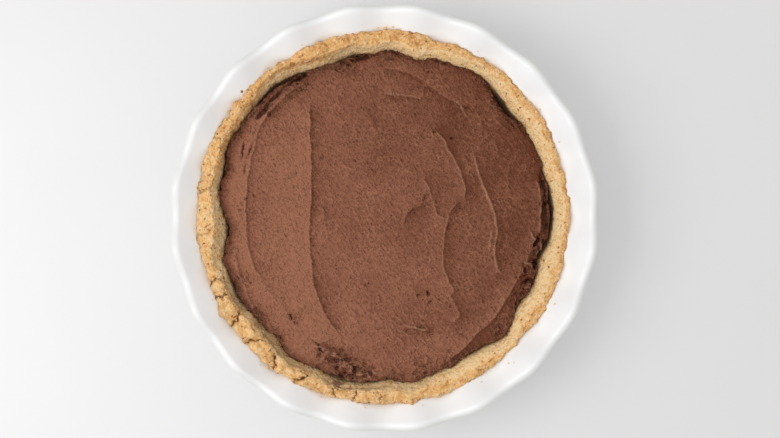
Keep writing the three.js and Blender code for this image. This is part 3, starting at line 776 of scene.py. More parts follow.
def nut_pastry(settings):
    """Short pastry of ground nuts: dry, matt and granular, cream inside and golden where it baked,
    with toasted edges and dark flecks of nut skin."""
    material, tree, shader, place = new_material(
        "baked_nut_pastry", Roughness=0.9, IOR=1.4, Specular_IOR_Level=0.25
    )
    bake, crack_and_slope_shade, smear, deep = (
        add_node(tree, "ShaderNodeAttribute", output="Fac", attribute_name=name)
        for name in ("bake", "crack_and_slope_shade", "smear", "deep")
    )
    # browning comes in patches of some 7 mm and in the crumb of the dough
    patch = add_node(tree, "ShaderNodeTexNoise", {"Vector": place, "Scale": per_mm(7), "Detail": 2.0})
    crumb = add_node(
        tree, "ShaderNodeTexNoise",
        {"Vector": place, "Scale": per_mm(2.1), "Detail": 2.0, "Roughness": 0.6},
    )
    tone = add_node(tree, "ShaderNodeMath", {0: patch, 1: 1.5, 2: bake}, operation="MULTIPLY_ADD")
    tone = add_node(tree, "ShaderNodeMath", {0: crumb, 1: 1.3, 2: tone}, operation="MULTIPLY_ADD")
    golden, toasted = (
        add_node(
            tree, "ShaderNodeMapRange", {"Value": tone, "From Min": least, "From Max": most},
            interpolation_type="SMOOTHSTEP",
        )
        for least, most in ((1.3, 1.9), (1.85, 2.55))
    )
    # grains 1.5 mm across: bare nut, partly a painted highlight, where they stand up, and painted shade in
    # the pits between them
    grains = add_node(
        tree, "ShaderNodeTexNoise",
        {"Vector": place, "Scale": per_mm(1.5), "Detail": 1.0, "Roughness": 0.5},
    )
    # ragged flecks of skin two or three millimetres long
    laid = add_node(
        tree, "ShaderNodeMapping",
        {"Vector": place, "Scale": (1.9, 1.0, 1.0), "Rotation": (0.0, 0.0, 0.7)},
        vector_type="TEXTURE",
    )
    flecks = add_node(
        tree, "ShaderNodeTexNoise",
        {"Vector": laid, "Scale": per_mm(1.8), "Detail": 2.0, "Roughness": 0.5},
    )
    flecks = add_node(tree, "ShaderNodeMath", {0: patch, 1: 0.35, 2: flecks}, operation="MULTIPLY_ADD")
    broken = add_node(tree, "ShaderNodeMath", {0: smear, 1: crumb}, operation="MULTIPLY")
    chip, pit_shade, fleck, wiped = (
        add_node(
            tree, "ShaderNodeMapRange",
            {"Value": value, "From Min": least, "From Max": most, "To Max": strength},
        )
        for value, least, most, strength in (
            (grains, 0.55, 0.74, 0.55),
            (grains, 0.44, 0.28, 0.4),
            (flecks, 0.82, 0.89, 0.85),
            (broken, 0.26, 0.46, 0.75),
        )
    )
    # one over the other: baked dough, grains, painted shade in the pits, flecks, then painted shade in the
    # cracks, creases and slopes turned from the light, the wiped chocolate, and the chocolate and painted
    # shadow on the wall beside the filling
    base = settings.pale[:]
    for amount, colour in (
        (golden, settings.baked),
        (toasted, settings.toasted),
        (chip, settings.nut),
        (pit_shade, settings.toasted),
        (fleck, settings.skin),
        (crack_and_slope_shade, settings.shade_brown),
        (wiped, settings.smear),
        (deep, settings.deep),
    ):
        base = add_node(tree, "ShaderNodeMix", {0: amount, 6: base, 7: colour[:]}, 2, data_type="RGBA")
    relief = add_node(tree, "ShaderNodeBump", {"Height": grains, "Strength": 1.0, "Distance": 1.15 * MM})
    tree.links.new(base, shader.inputs["Base Color"])
    tree.links.new(relief, shader.inputs["Normal"])
    return material


def chocolate_cream(settings):
    """Set chocolate filling: a fatty, whipped paste spread with a blade. It is matt with a faint
    bloom, and its skin is dragged into short streaks with air pores."""
    material, tree, shader, place = new_material(
        "spread_chocolate_cream", Roughness=0.45, IOR=1.45, Specular_IOR_Level=0.15
    )
    # these attributes carry painted light and shade, painted highlights on ridges and lips, and painted
    # shade in holes, beside the pastry and down the sides
    pale, thin, torn_and_shaded, broken = (
        add_node(tree, "ShaderNodeAttribute", output="Fac", attribute_name=name)
        for name in ("pale", "thin", "torn_and_shaded", "broken")
    )
    # a grain dragged towards the lower right, and scratches that run with the blade
    dragged, drawn = (
        add_node(
            tree, "ShaderNodeMapping",
            {"Vector": place, "Rotation": (0.0, 0.0, math.radians(turn)), "Scale": (longer, 1.0, 1.0)},
            vector_type="TEXTURE",
        )
        for turn, longer in ((-52, 2.4), (-62, 3.0))
    )
    # the sizes are millimetres; real specks are finer and would blur at this distance
    streak, speck, sand, crumbs, patch, scratch = (
        add_node(tree, "ShaderNodeTexNoise", {"Vector": laid, "Scale": per_mm(size), "Detail": detail})
        for laid, size, detail in (
            (dragged, 1.4, 0.0), (place, 1.3, 0.0), (place, 0.9, 0.0), (place, 1.9, 0.0),
            (place, 16, 3.0), (drawn, 1.2, 1.0),
        )
    )
    # in some patches, and where the cream is torn, small crumbs of it stand up
    crumbs = add_node(
        tree, "ShaderNodeMapRange", {"Value": crumbs, "From Min": 0.42, "From Max": 0.8},
        interpolation_type="SMOOTHSTEP",
    )
    crumbly = add_node(tree, "ShaderNodeMapRange", {
        "Value": patch, "From Min": 0.46, "From Max": 0.6, "To Min": 0.1, "To Max": 0.8,
    })
    crumbly = add_node(tree, "ShaderNodeMath", {0: crumbly, 1: broken}, operation="MAXIMUM")
    skin = streak
    for value, amount in ((speck, 0.65), (sand, 1.0), (crumbs, crumbly)):
        skin = add_node(tree, "ShaderNodeMath", {0: value, 1: amount, 2: skin}, operation="MULTIPLY_ADD")
    # the light colour goes on what stands up, painted light that leaves the pits in painted shade, and
    # where the attributes paint light; the broad patches vary it at random
    bloom = pale
    for value, amount in ((skin, 0.65), (patch, 0.3)):
        bloom = add_node(
            tree, "ShaderNodeMath", {0: value, 1: amount, 2: bloom}, operation="MULTIPLY_ADD"
        )
    bloom = add_node(tree, "ShaderNodeMapRange", {"Value": bloom, "From Min": 1.05, "From Max": 2.05})
    # dark scratches, painted shade with no grooves under them, mostly in the crumbly patches
    scratch = add_node(tree, "ShaderNodeMath", {0: patch, 1: 0.25, 2: scratch}, operation="MULTIPLY_ADD")
    scratch = add_node(
        tree, "ShaderNodeMapRange", {"Value": scratch, "From Min": 0.76, "From Max": 0.86, "To Max": 0.5}
    )
    # a few air pores, each about a millimetre across, dark with painted shade
    pores = add_node(tree, "ShaderNodeTexVoronoi", {"Vector": place, "Scale": per_mm(5)})
    chosen = add_node(tree, "ShaderNodeSeparateColor", {"Color": pores.node.outputs["Color"]})
    chosen = add_node(tree, "ShaderNodeMath", {0: chosen, 1: 0.82}, operation="GREATER_THAN")
    pore = add_node(tree, "ShaderNodeMapRange", {"Value": pores, "From Min": 0.11, "From Max": 0.06})
    pore = add_node(tree, "ShaderNodeMath", {0: pore, 1: chosen}, operation="MULTIPLY")
    # painted shade in pores, holes, scratches, beside the pastry and down the sides
    dark = pore
    for other in (torn_and_shaded, scratch):
        dark = add_node(tree, "ShaderNodeMath", {0: dark, 1: other}, operation="MAXIMUM")
    base = settings.fresh[:]
    for amount, colour in ((bloom, settings.dry), (thin, settings.crest), (dark, settings.torn_and_shaded)):
        base = add_node(tree, "ShaderNodeMix", {0: amount, 6: base, 7: colour[:]}, 2, data_type="RGBA")
    height = add_node(tree, "ShaderNodeMath", {0: pore, 1: -1.0, 2: skin}, operation="MULTIPLY_ADD")
    relief = add_node(tree, "ShaderNodeBump", {"Height": height, "Strength": 1.0, "Distance": 0.9 * MM})
    tree.links.new(base, shader.inputs["Base Color"])
    tree.links.new(relief, shader.inputs["Normal"])
    return material


def loose_crumb(settings):
    """Crumbs of the pastry: pale grains of nut, browned ones and bits of skin."""
    material, tree, shader, place = new_material("pastry_crumb", Roughness=0.85)
    shade = add_node(tree, "ShaderNodeAttribute", output="Fac", attribute_name="shade")
    base = settings.pale[:]
    for least, most, colour in ((0.35, 0.85, settings.baked), (0.72, 0.95, settings.skin)):
        amount = add_node(
            tree, "ShaderNodeMapRange", {"Value": shade, "From Min": least, "From Max": most}
        )
        base = add_node(tree, "ShaderNodeMix", {0: amount, 6: base, 7: colour[:]}, 2, data_type="RGBA")
    dust = add_node(tree, "ShaderNodeTexNoise", {"Vector": place, "Scale": per_mm(0.6), "Detail": 3.0})
    relief = add_node(tree, "ShaderNodeBump", {"Height": dust, "Strength": 0.6, "Distance": 0.2 * MM})
    tree.links.new(base, shader.inputs["Base Color"])
    tree.links.new(relief, shader.inputs["Normal"])
    return material


def matt_table(settings):
    """A pale, satin-painted table top."""
    material, tree, shader, place = new_material("pale_satin_paint", Roughness=0.55)
    cloud = add_node(tree, "ShaderNodeTexNoise", {"Vector": place, "Scale": per_mm(90), "Detail": 2.0})
    colour = add_node(
        tree, "ShaderNodeMix", {0: cloud, 6: settings.floor[:], 7: settings.floor_deep[:]}, 2,
        data_type="RGBA",
    )
    tree.links.new(colour, shader.inputs["Base Color"])
    return material


# ---- Dish ----

REACH = 1.6  # rounding of the foot ring's outer edge
KNEE = (98.0, 2.2)  # where the base turns up into the wall
AXIS = 1 * MM  # radius of the circle that the section is swept round


def quadratic(start, knee, end, count):
    """Points between the ends of a curve that leans towards its knee."""
    s = np.linspace(0, 1, count + 2)[1:-1, None]
    return (1 - s) ** 2 * np.array(start) + 2 * s * (1 - s) * np.array(knee) + s * s * np.array(end)


def dish_section(settings):
    """(radius, height) from the axis under the dish, over the lip, to the axis on its floor."""
    wall = settings.thickness / MM
    under = FLOOR_TOP - FLOOR_THICKNESS
    recess = FOOT_RADIUS - FOOT_WIDTH
    outer_r, outer_z = wall_point(np.linspace(FLOOR_TOP + 2, WALL_TOP, 16), -wall)
    up_r, up_z = wall_up(WALL_TOP)
    centre = np.array(wall_point(WALL_TOP, -wall / 2))
    turns = np.linspace(0, math.pi, 13)[1:-1, None]
    lip = centre + wall / 2 * (
        np.sin(turns) * np.array((up_r, up_z)) - np.cos(turns) * np.array((-up_z, up_r))
    )
    foot_turns = np.linspace(0, math.pi / 2, 5)
    foot = list(zip(FOOT_RADIUS + REACH * np.sin(foot_turns), REACH * (1 - np.cos(foot_turns))))
    base = quadratic(foot[-1], KNEE, (outer_r[0], outer_z[0]), 5)
    corner = corner_points(0, CORNER_RUN, 8)
    inner_z = np.linspace(WALL_TOP, corner[-1][1] + 1, 19)
    inner_r, _ = wall_point(inner_z, 0)
    return np.array([
        (0, under), (recess * 0.5, under), (recess - 1.5, under), (recess - 0.6, under - 0.5),
        (recess, 0.3), (recess + 0.5, 0), *foot, *base, *zip(outer_r, outer_z), *lip,
        *zip(inner_r, inner_z), *corner[::-1], (WALL_FOOT_RADIUS * 0.5, FLOOR_TOP), (0, FLOOR_TOP),
    ])


def wall_directions(tree, place, height):
    """Adds the nodes for two directions at each point: up along the wall and square to it."""
    # out from the axis, and round it
    flat = add_node(tree, "ShaderNodeVectorMath", {0: place, 1: (1.0, 1.0, 0.0)}, operation="MULTIPLY")
    outwards = add_node(tree, "ShaderNodeVectorMath", {0: flat}, operation="NORMALIZE")
    onwards = add_node(
        tree, "ShaderNodeVectorMath", {0: (0.0, 0.0, 1.0), 1: outwards}, operation="CROSS_PRODUCT"
    )
    run = add_node(tree, "ShaderNodeMapRange", {
        "Value": height, "From Min": FLOOR_TOP * MM, "From Max": WALL_TOP * MM,
        "To Min": WALL_LEAN, "To Max": WALL_LEAN + 2 * WALL_FLARE / (WALL_TOP - FLOOR_TOP),
    })
    leaning = add_node(tree, "ShaderNodeVectorMath", {0: outwards, "Scale": run}, operation="SCALE")
    leaning = add_node(tree, "ShaderNodeVectorMath", {0: leaning, 1: (0.0, 0.0, 1.0)}, operation="ADD")
    upwards = add_node(tree, "ShaderNodeVectorMath", {0: leaning}, operation="NORMALIZE")
    square = add_node(tree, "ShaderNodeVectorMath", {0: upwards, 1: onwards}, operation="CROSS_PRODUCT")
    return upwards, square


def ruffled_revolve_tree():
    """Turns a section about the Z axis and ruffles its wall. The section lies in the XY plane, with
    its radius along X and its height along Y."""
    tree, given = new_geometry_tree("ruffled_revolve", (
        ("Segments", "NodeSocketInt"),
        ("Ruffles", "NodeSocketInt"),
        ("First Ruffle", "NodeSocketFloat"),
        ("Push", "NodeSocketFloat"),
        ("Lift", "NodeSocketFloat"),
        ("Material", "NodeSocketMaterial"),
    ))
    # sweep the section round a tiny circle, so that it lies at its own radius
    place = add_node(tree, "GeometryNodeInputPosition")
    laid = add_node(
        tree, "ShaderNodeVectorMath", {0: place, 1: (1.0, -1.0, 1.0), 2: (-AXIS, 0.0, 0.0)},
        operation="MULTIPLY_ADD",
    )
    line = add_node(tree, "GeometryNodeMeshToCurve", {"Mesh": given["Geometry"]})
    profile = add_node(tree, "GeometryNodeSetPosition", {"Geometry": line, "Position": laid})
    circle = add_node(
        tree, "GeometryNodeCurvePrimitiveCircle", {"Resolution": given["Segments"], "Radius": AXIS}
    )
    swept = add_node(tree, "GeometryNodeCurveToMesh", {"Curve": circle, "Profile Curve": profile})
    joined = add_node(tree, "GeometryNodeMergeByDistance", {"Geometry": swept, "Distance": 0.002 * MM})
    height = add_node(tree, "ShaderNodeSeparateXYZ", {"Vector": place}, "Z")
    upwards, square = wall_directions(tree, place, height)
    # the ruffle's wave, and how much of it each height takes
    parts = add_node(tree, "ShaderNodeSeparateXYZ", {"Vector": place})
    angle = add_node(tree, "ShaderNodeMath", {0: parts.node.outputs["Y"], 1: parts}, operation="ARCTAN2")
    turned = add_node(tree, "ShaderNodeMath", {0: angle, 1: given["First Ruffle"]}, operation="SUBTRACT")
    phase = add_node(tree, "ShaderNodeMath", {0: turned, 1: given["Ruffles"]}, operation="MULTIPLY")
    wave = add_node(tree, "ShaderNodeMath", {0: phase}, operation="COSINE")
    offsets = []
    for amount, direction, span in (("Push", square, PUSH_SPAN), ("Lift", upwards, LIFT_SPAN)):
        share = add_node(
            tree, "ShaderNodeMapRange",
            {"Value": height, "From Min": span[0] * MM, "From Max": span[1] * MM, "To Max": given[amount]},
            interpolation_type="SMOOTHSTEP",
        )
        travel = add_node(tree, "ShaderNodeMath", {0: wave, 1: share}, operation="MULTIPLY")
        offsets.append(add_node(
            tree, "ShaderNodeVectorMath", {0: direction, "Scale": travel}, operation="SCALE"
        ))
    both = add_node(tree, "ShaderNodeVectorMath", dict(enumerate(offsets)), operation="ADD")
    waved = add_node(tree, "GeometryNodeSetPosition", {"Geometry": joined, "Offset": both})
    smooth = add_node(tree, "GeometryNodeSetShadeSmooth", {"Geometry": waved})
    finish_tree(tree, smooth, given["Material"])
    return tree


def point_outwards(piece):
    """Turns a closed mesh's faces outwards."""
    shell = bmesh.new()
    shell.from_mesh(piece.data)
    bmesh.ops.recalc_face_normals(shell, faces=shell.faces)
    if shell.calc_volume(signed=True) < 0:
        bmesh.ops.reverse_faces(shell, faces=shell.faces)
    shell.to_mesh(piece.data)
    shell.free()


class TART_OT_dish(Operator):
    """Makes the ruffled dish by turning its section"""

    bl_idname = "tart.dish"
    bl_label = "Dish"

    def execute(self, context):
        settings = context.scene.tart.dish
        section = dish_section(settings)
        mesh = bpy.data.meshes.new("glazed_dish")
        edges = [(i, i + 1) for i in range(len(section) - 1)]
        mesh.from_pydata([(r * MM, z * MM, 0) for r, z in section], edges, [])
        piece = bpy.data.objects.new("glazed_dish", mesh)
        context.scene.collection.objects.link(piece)
        apply_tree(piece, ruffled_revolve_tree(), {
            "Segments": settings.segments,
            "Ruffles": settings.ruffles,
            "First Ruffle": settings.first_ruffle,
            "Push": settings.push,
            "Lift": settings.lift,
            "Material": glazed_stoneware(settings),
        })
        point_outwards(piece)
        finish_piece(piece, "dish", None)
        return {"FINISHED"}


# ---- Crust ----

RIM_ROWS = 62
RIM_RADIUS = 115.0  # middle of the rim
RIM_GRAINS = ((1.6, 7.0), (1.2, 2.8))  # unevenness of its outer edge: (amount, size)
UNDER_HEIGHTS = (16.0, 22.0, 28.0)  # rows of the underside on the dish's wall
INNER_HEIGHTS = (25.0, 20.5)  # and the last rows of the rim, hidden by the filling
DEEP_CRACK = 1.4  # cracks deeper than this let the rim sag beside them,
SAG_WIDTH = 2.6  # over this width
BLOCKY_FROM = (188, 210)  # over these angles the rim turns into separate torn lumps
BLOCKY_TO = (308, 262)  # and over these it turns back
SMEAR_PLACE = (-30, -106)  # where chocolate was wiped on the rim
SMEAR_SIZE = 5.0
# what changes round the rim, each entry (angle, amount, half width): how rough it is,
ROUGHER = ((170, 0.45, 80),)
# how high its inner edge stands,
LEDGES = ((175, 1.2, 24), (122, 0.9, 24))
# how far in its golden band reaches, within a limit and past it, where the slope on the upper left is
# partly browner dough and partly painted shade,
GOLDEN_REACH = ((175, 0.45, 24), (115, 0.5, 50))
GOLDEN_PAST = ((138, 0.8, 22),)
# where it browned more and where its top stayed pale,
BROWNER = ((85, 0.12, 60),)
PALER_TOP = ((170, 0.3, 30),)
# how much painted shade the wall beside the filling gets, most on the side turned from the light, and a
# less shaded place in it,
SHADED_WALL = ((150, 0.75, 60), (276, 0.3, 20))
LESS_SHADED_WALL = ((158, 0.35, 9),)
# how much painted shade the slopes inside the rim get, and where they begin further in,
SHADED_TORN_SLOPE = ((224, 0.3, 8), (254, -0.2, 7))
SHADED_SMOOTH_SLOPE = ((108, 0.5, 13), (130, 0.3, 12), (186, 0.45, 11))
SLOPE_FURTHER_IN = ((128, 0.08, 9),)
# and where more chocolate stuck to the wall
MORE_FILM = ((1, 0.6, 13), (44, 0.6, 9))


def crust_sections(theta, dish):
    """Radius and height of the pastry's section at each angle: first its underside, which follows
    the dish, then the rim from where it meets the dish to below the filling, then its floor."""
    lumps = bumps_at(theta, RIM_LUMPS) + raggedness(theta, RIM_RADIUS, RIM_GRAINS)
    crest = crest_height(theta) + 0.5 * lumps
    meeting = CREST_HEIGHT - RIM_DROP_OUTSIDE + MEETING_FOLLOWS * (crest - CREST_HEIGHT) + 0.6 * lumps
    outer = wall_point(meeting, GAP + RIM_SETBACK)[0]
    inner = inner_wall_radius(theta, WALL_EDGE_HEIGHT)
    shoulder = inner + SHOULDER_RUN + bumps_at(theta, SHOULDERS)
    floor_top = FLOOR_TOP + GAP + CRUST_THICKNESS
    foot = inner_wall_radius(theta, floor_top)
    flat = np.ones_like(theta)

    under = [(r * flat, z * flat) for r, z in corner_points(GAP, CORNER_RUN, 3)]
    under += [ruffled(*wall_point(z * flat, GAP), theta, dish) for z in UNDER_HEIGHTS]
    rim = smooth_curve(np.array([
        ruffled(*wall_point(meeting, GAP), theta, dish),
        (outer + 0.2, crest - 1.6),
        (outer - 0.5, crest - 0.6),
        (outer * 0.75 + shoulder * 0.25, crest),
        (outer * 0.5 + shoulder * 0.5, crest + 0.1),
        (outer * 0.25 + shoulder * 0.75, crest - 0.25),
        (shoulder, crest - RIM_DROP_INSIDE),
        (inner * 0.5 + shoulder * 0.5, crest * 0.42 + WALL_EDGE_HEIGHT * 0.58),
        (inner + 0.2, (WALL_EDGE_HEIGHT + 0.6) * flat),
        *((inner_wall_radius(theta, z), z * flat) for z in INNER_HEIGHTS),
    ]), RIM_ROWS)
    floor = [
        (inner_wall_radius(theta, 16.0), 16.0 * flat),
        (foot + 2, (floor_top + 3) * flat),
        (foot - 5, floor_top * flat),
    ]
    rows = np.concatenate((np.array(under), rim, np.array(floor)))
    across = (outer - rows[len(under) : len(under) + RIM_ROWS, 0]) / (outer - shoulder)
    return rows[:, 0], rows[:, 1], len(under), across


def crack_relief(theta, radius):
    """Depth of the cracks, and how near the closest deep one is, at points of the rim."""
    depth = np.zeros_like(theta)
    nearest = np.full_like(theta, np.inf)
    for k, (angle, deep, half_width, lean) in enumerate(CRACKS):
        wander = 1.1 * np.sin(radius * 0.55 + 2.1 * k) + 0.5 * np.sin(radius * 1.5 + 1.3 * k)
        across = np.radians(turn_between(angle, theta)) * radius
        across -= lean * (radius - RIM_RADIUS) + wander
        width = half_width * (0.8 + 1.1 * np.sin(radius * 0.9 + 1.9 * k) ** 2)
        depth += deep * np.exp(-(np.abs(across / width) ** 1.6))
        if deep > DEEP_CRACK:
            nearest = np.minimum(nearest, np.abs(across))
    return depth, nearest


def rim_places(theta, radius, z, across, points):
    """What the relief and the colours of the rim depend on, at each of its points. `across` goes
    from 0 at the outer edge of the crest to 1 at the shoulder, and on down the slope inside."""
    shape = across.shape
    turn = np.broadcast_to(theta, shape)
    lumps, knobs, grains, broad = (
        noise_at(points.reshape(-1, 3), size, kind).reshape(shape)
        for size, kind in ((9.5, lump), (4.2, crumbly), (2.4, grain), (9.0, noise.noise))
    )
    share = np.linspace(0, 1, RIM_ROWS)[:, None] * np.ones(shape)
    cracks, nearest = crack_relief(turn, radius)
    on_top = smoothstep(z, WALL_EDGE_HEIGHT + 1, WALL_EDGE_HEIGHT + 4)
    return SimpleNamespace(
        turn=turn, z=z, across=across, ragged=across + 0.1 * broad,
        lumps=lumps, knobs=knobs, grains=grains, broad=broad,
        on_top=on_top, nearest=nearest, cracks=cracks * on_top * smoothstep(across, 1.12, 0.94),
        loose=smoothstep(share, 0.0, 0.1) * smoothstep(1 - share, 0.04, 0.25),
        blocky=smoothstep(turn, *BLOCKY_FROM) * smoothstep(turn, *BLOCKY_TO),
        rough=0.65 + bumps_at(turn, ROUGHER),
    )


def rim_relief(rim, settings):
    """How far the points of the rim move along their normals, and how far they rise."""
    outwards = rim.rough * rim.loose / MM * (
        settings.lumps * (rim.blocky * (rim.lumps - 0.7) + rim.broad)
        + settings.knobs * rim.knobs + settings.grains * rim.grains
    )
    pillow = (0.5 + rim.blocky) * rim.on_top * bell(rim.nearest, SAG_WIDTH)
    ledge = 2.0 * rim.blocky * (smoothstep(rim.ragged, 1.3, 1.16) - 0.35)
    raised = 1.3 * rim.blocky + bumps_at(rim.turn, LEDGES)
    ledge += raised * smoothstep(rim.across, 0.45, 1.0) * smoothstep(rim.across, 1.3, 1.08)
    return outwards, rim.loose * (ledge * rim.on_top - pillow - rim.cracks)


def rim_browning(rim):
    """How brown the rim is baked, from raw to toasted."""
    reach = 0.55 + 0.5 * rim.blocky + bumps_at(rim.turn, GOLDEN_REACH)
    reach = np.minimum(reach, 1.02 + 0.12 * rim.blocky) + bumps_at(rim.turn, GOLDEN_PAST)
    edge = rim.across + 0.2 * rim.broad + 0.14 * rim.knobs
    golden = smoothstep(edge, reach + 0.1, reach - 0.1)
    outside = smoothstep(edge, 0.22, -0.08)
    pale_top = bumps_at(rim.turn, PALER_TOP) + 0.16 * rim.blocky
    browned = 0.55 + bumps_at(rim.turn, BROWNER) - pale_top * smoothstep(rim.across, 1.1, 0.95)
    # its steep outer face is left paler, painted light against the shade where it meets the dish
    return browned * golden * (1 - 0.5 * outside)


def rim_attributes(rim, points):
    """The attributes by which the pastry is coloured, painted shade included, and strewn with crumbs."""
    edge = WALL_EDGE_HEIGHT
    # painted shade on the wall beside the filling, strongest on the side turned from the light
    wall = 0.25 + bumps_at(rim.turn, SHADED_WALL)
    lighter = bumps_at(rim.turn, LESS_SHADED_WALL)
    torn_slope_shade = (0.42 + bumps_at(rim.turn, SHADED_TORN_SLOPE)) * rim.blocky
    further = bumps_at(rim.turn, SLOPE_FURTHER_IN)
    # painted shade on the wall and on the slopes turned from the light
    slope_and_wall_shade = np.maximum.reduce((
        (wall - lighter) * smoothstep(rim.z, edge + 3.5, edge - 1.5),
        torn_slope_shade * smoothstep(rim.ragged, 1.14, 1.24),
        bumps_at(rim.turn, SHADED_SMOOTH_SLOPE) * smoothstep(rim.ragged, 0.92 + further, 1.06 + further),
    ))
    # and full painted shade on the wall low down beside the filling
    slope_and_wall_shade = np.maximum(0.8 * slope_and_wall_shade, smoothstep(rim.z, edge, edge - 3))
    # painted shade in the creases between the lumps
    creases = 0.22 * (1 - rim.lumps) ** 2 * rim.blocky
    # chocolate on the wall, with painted shadow where the wall is turned from the light
    film_and_shadow = np.minimum(wall + bumps_at(rim.turn, MORE_FILM), 1)
    away = np.hypot(points[..., 0] - SMEAR_PLACE[0], points[..., 1] - SMEAR_PLACE[1])
    return {
        "bake": rim_browning(rim),
        # painted shade in the cracks, creases, slopes and wall
        "crack_and_slope_shade": np.clip(rim.cracks / 2.2 + 0.75 * slope_and_wall_shade + creases * rim.loose, 0, 1),
        "deep": film_and_shadow * smoothstep(rim.z + 0.5 * rim.knobs, edge - 0.2, edge - 1.8),
        "smear": bell(away, SMEAR_SIZE),
        "crumbly": rim.on_top * rim.loose * smoothstep(rim.across, 1.5, 0.9) * rim.rough,
    }


class TART_OT_crust(Operator):
    """Makes the pastry shell, with its lumps, cracks and browning"""

    bl_idname = "tart.crust"
    bl_label = "Crust"

    def execute(self, context):
        settings = context.scene.tart.crust
        columns = settings.steps
        theta = np.arange(columns) * TURN / columns
        radius, z, first_rim_row, across = crust_sections(theta, context.scene.tart.dish)
        angles = np.broadcast_to(np.radians(theta), radius.shape)
        points = np.stack((radius * np.cos(angles), radius * np.sin(angles), z), axis=-1)
        normals = np.cross(
            np.roll(points, -1, axis=1) - np.roll(points, 1, axis=1), np.gradient(points, axis=0)
        )
        normals /= np.maximum(np.linalg.norm(normals, axis=-1, keepdims=True), 1e-9)

        rows = slice(first_rim_row, first_rim_row + RIM_ROWS)
        rim = rim_places(theta, radius[rows], z[rows], across, points[rows])
        outwards, upwards = rim_relief(rim, settings)
        points[rows] += normals[rows] * outwards[..., None]
        points[rows, :, 2] += upwards

        vertices = points.transpose(1, 0, 2).reshape(-1, 3)
        poles = [(0, 0, FLOOR_TOP + GAP), (0, 0, FLOOR_TOP + GAP + CRUST_THICKNESS)]
        faces = ring_faces(columns, len(radius))
        piece = new_object("nut_crust", np.vstack((vertices, poles)), faces)
        for name, values in rim_attributes(rim, points[rows]).items():
            whole = np.zeros(points.shape[:2])
            whole[rows] = values
            add_attribute(piece, name, np.append(whole.T.ravel(), (0, 0)))
        finish_piece(piece, "crust", nut_pastry(settings))
        return {"FINISHED"}


# ---- Filling ----

EDGE_RADIUS = 103.0  # of the filling's top, on the whole
EDGE_GRAINS = ((0.9, 4.2), (0.7, 1.9))  # how it is torn: (amount, size)
# where the pastry rim's painted shadow on the filling is widest
RIM_SHADOW_SIDES = ((185, 0.8, 65),)  # (angle, amount, half width)


def disc_faces(rings):
    """Triangles of a disc of rings, six more points in each than in the last."""
    starts = [0] + [1 + 3 * ring * (ring - 1) for ring in range(1, rings + 1)]
    faces = []
    for ring in range(1, rings + 1):
        outer_count, inner_count = 6 * ring, max(1, 6 * (ring - 1))
        for sector in range(6):
            for i in range(ring):
                outer = starts[ring] + (sector * ring + i) % outer_count
                outer_next = starts[ring] + (sector * ring + i + 1) % outer_count
                inner = starts[ring - 1] + (sector * (ring - 1) + i) % inner_count
                faces.append((outer, outer_next, inner))
                if i + 1 < ring:
                    inner_next = starts[ring - 1] + (sector * (ring - 1) + i + 1) % inner_count
                    faces.append((inner, outer_next, inner_next))
    return faces, starts[rings]


def ragged_edge(around):
    """Radius of the torn edge of the filling's top at each angle, and how ragged it is there."""
    ragged = raggedness(around, EDGE_RADIUS, EDGE_GRAINS)
    widest = inner_wall_radius(around, FILLING_HEIGHT - EDGE_DROP) - 0.3
    return np.minimum(filling_radius(around) + ragged, widest), ragged


def filling_sides(around, rim, ragged, top):
    """Rings of points down the filling's side and along its underside, from the edge inwards."""
    radians = np.radians(around)
    base = FLOOR_TOP + 2 * GAP + CRUST_THICKNESS
    foot = inner_wall_radius(around, base - GAP)
    low = inner_wall_radius(around, SIDE_HEIGHT) - 1.2 - 0.7 * bumps_at(around, PULLBACKS)
    levels = [
        (rim + 0.2 + 0.3 * np.roll(ragged, 3), top - 0.7),
        (rim * 0.95 + low * 0.05 + 0.4 * np.roll(ragged, 5), top * 0.7 + SIDE_HEIGHT * 0.3),
        (rim * 0.8 + low * 0.2 + 0.4 * np.roll(ragged, 9), top * 0.35 + SIDE_HEIGHT * 0.65),
        (low, np.full_like(around, SIDE_HEIGHT)),
        (foot + 2 - GAP, np.full_like(around, base + 3)),
        (foot - 5, np.full_like(around, base)),
    ]
    rings = []
    for radius, z in levels:
        radius = np.minimum(radius, inner_wall_radius(around, z) - 0.4)
        rings.append(np.stack((radius * np.cos(radians), radius * np.sin(radians), z), axis=-1))
    return rings, np.array([[0, 0, base]])


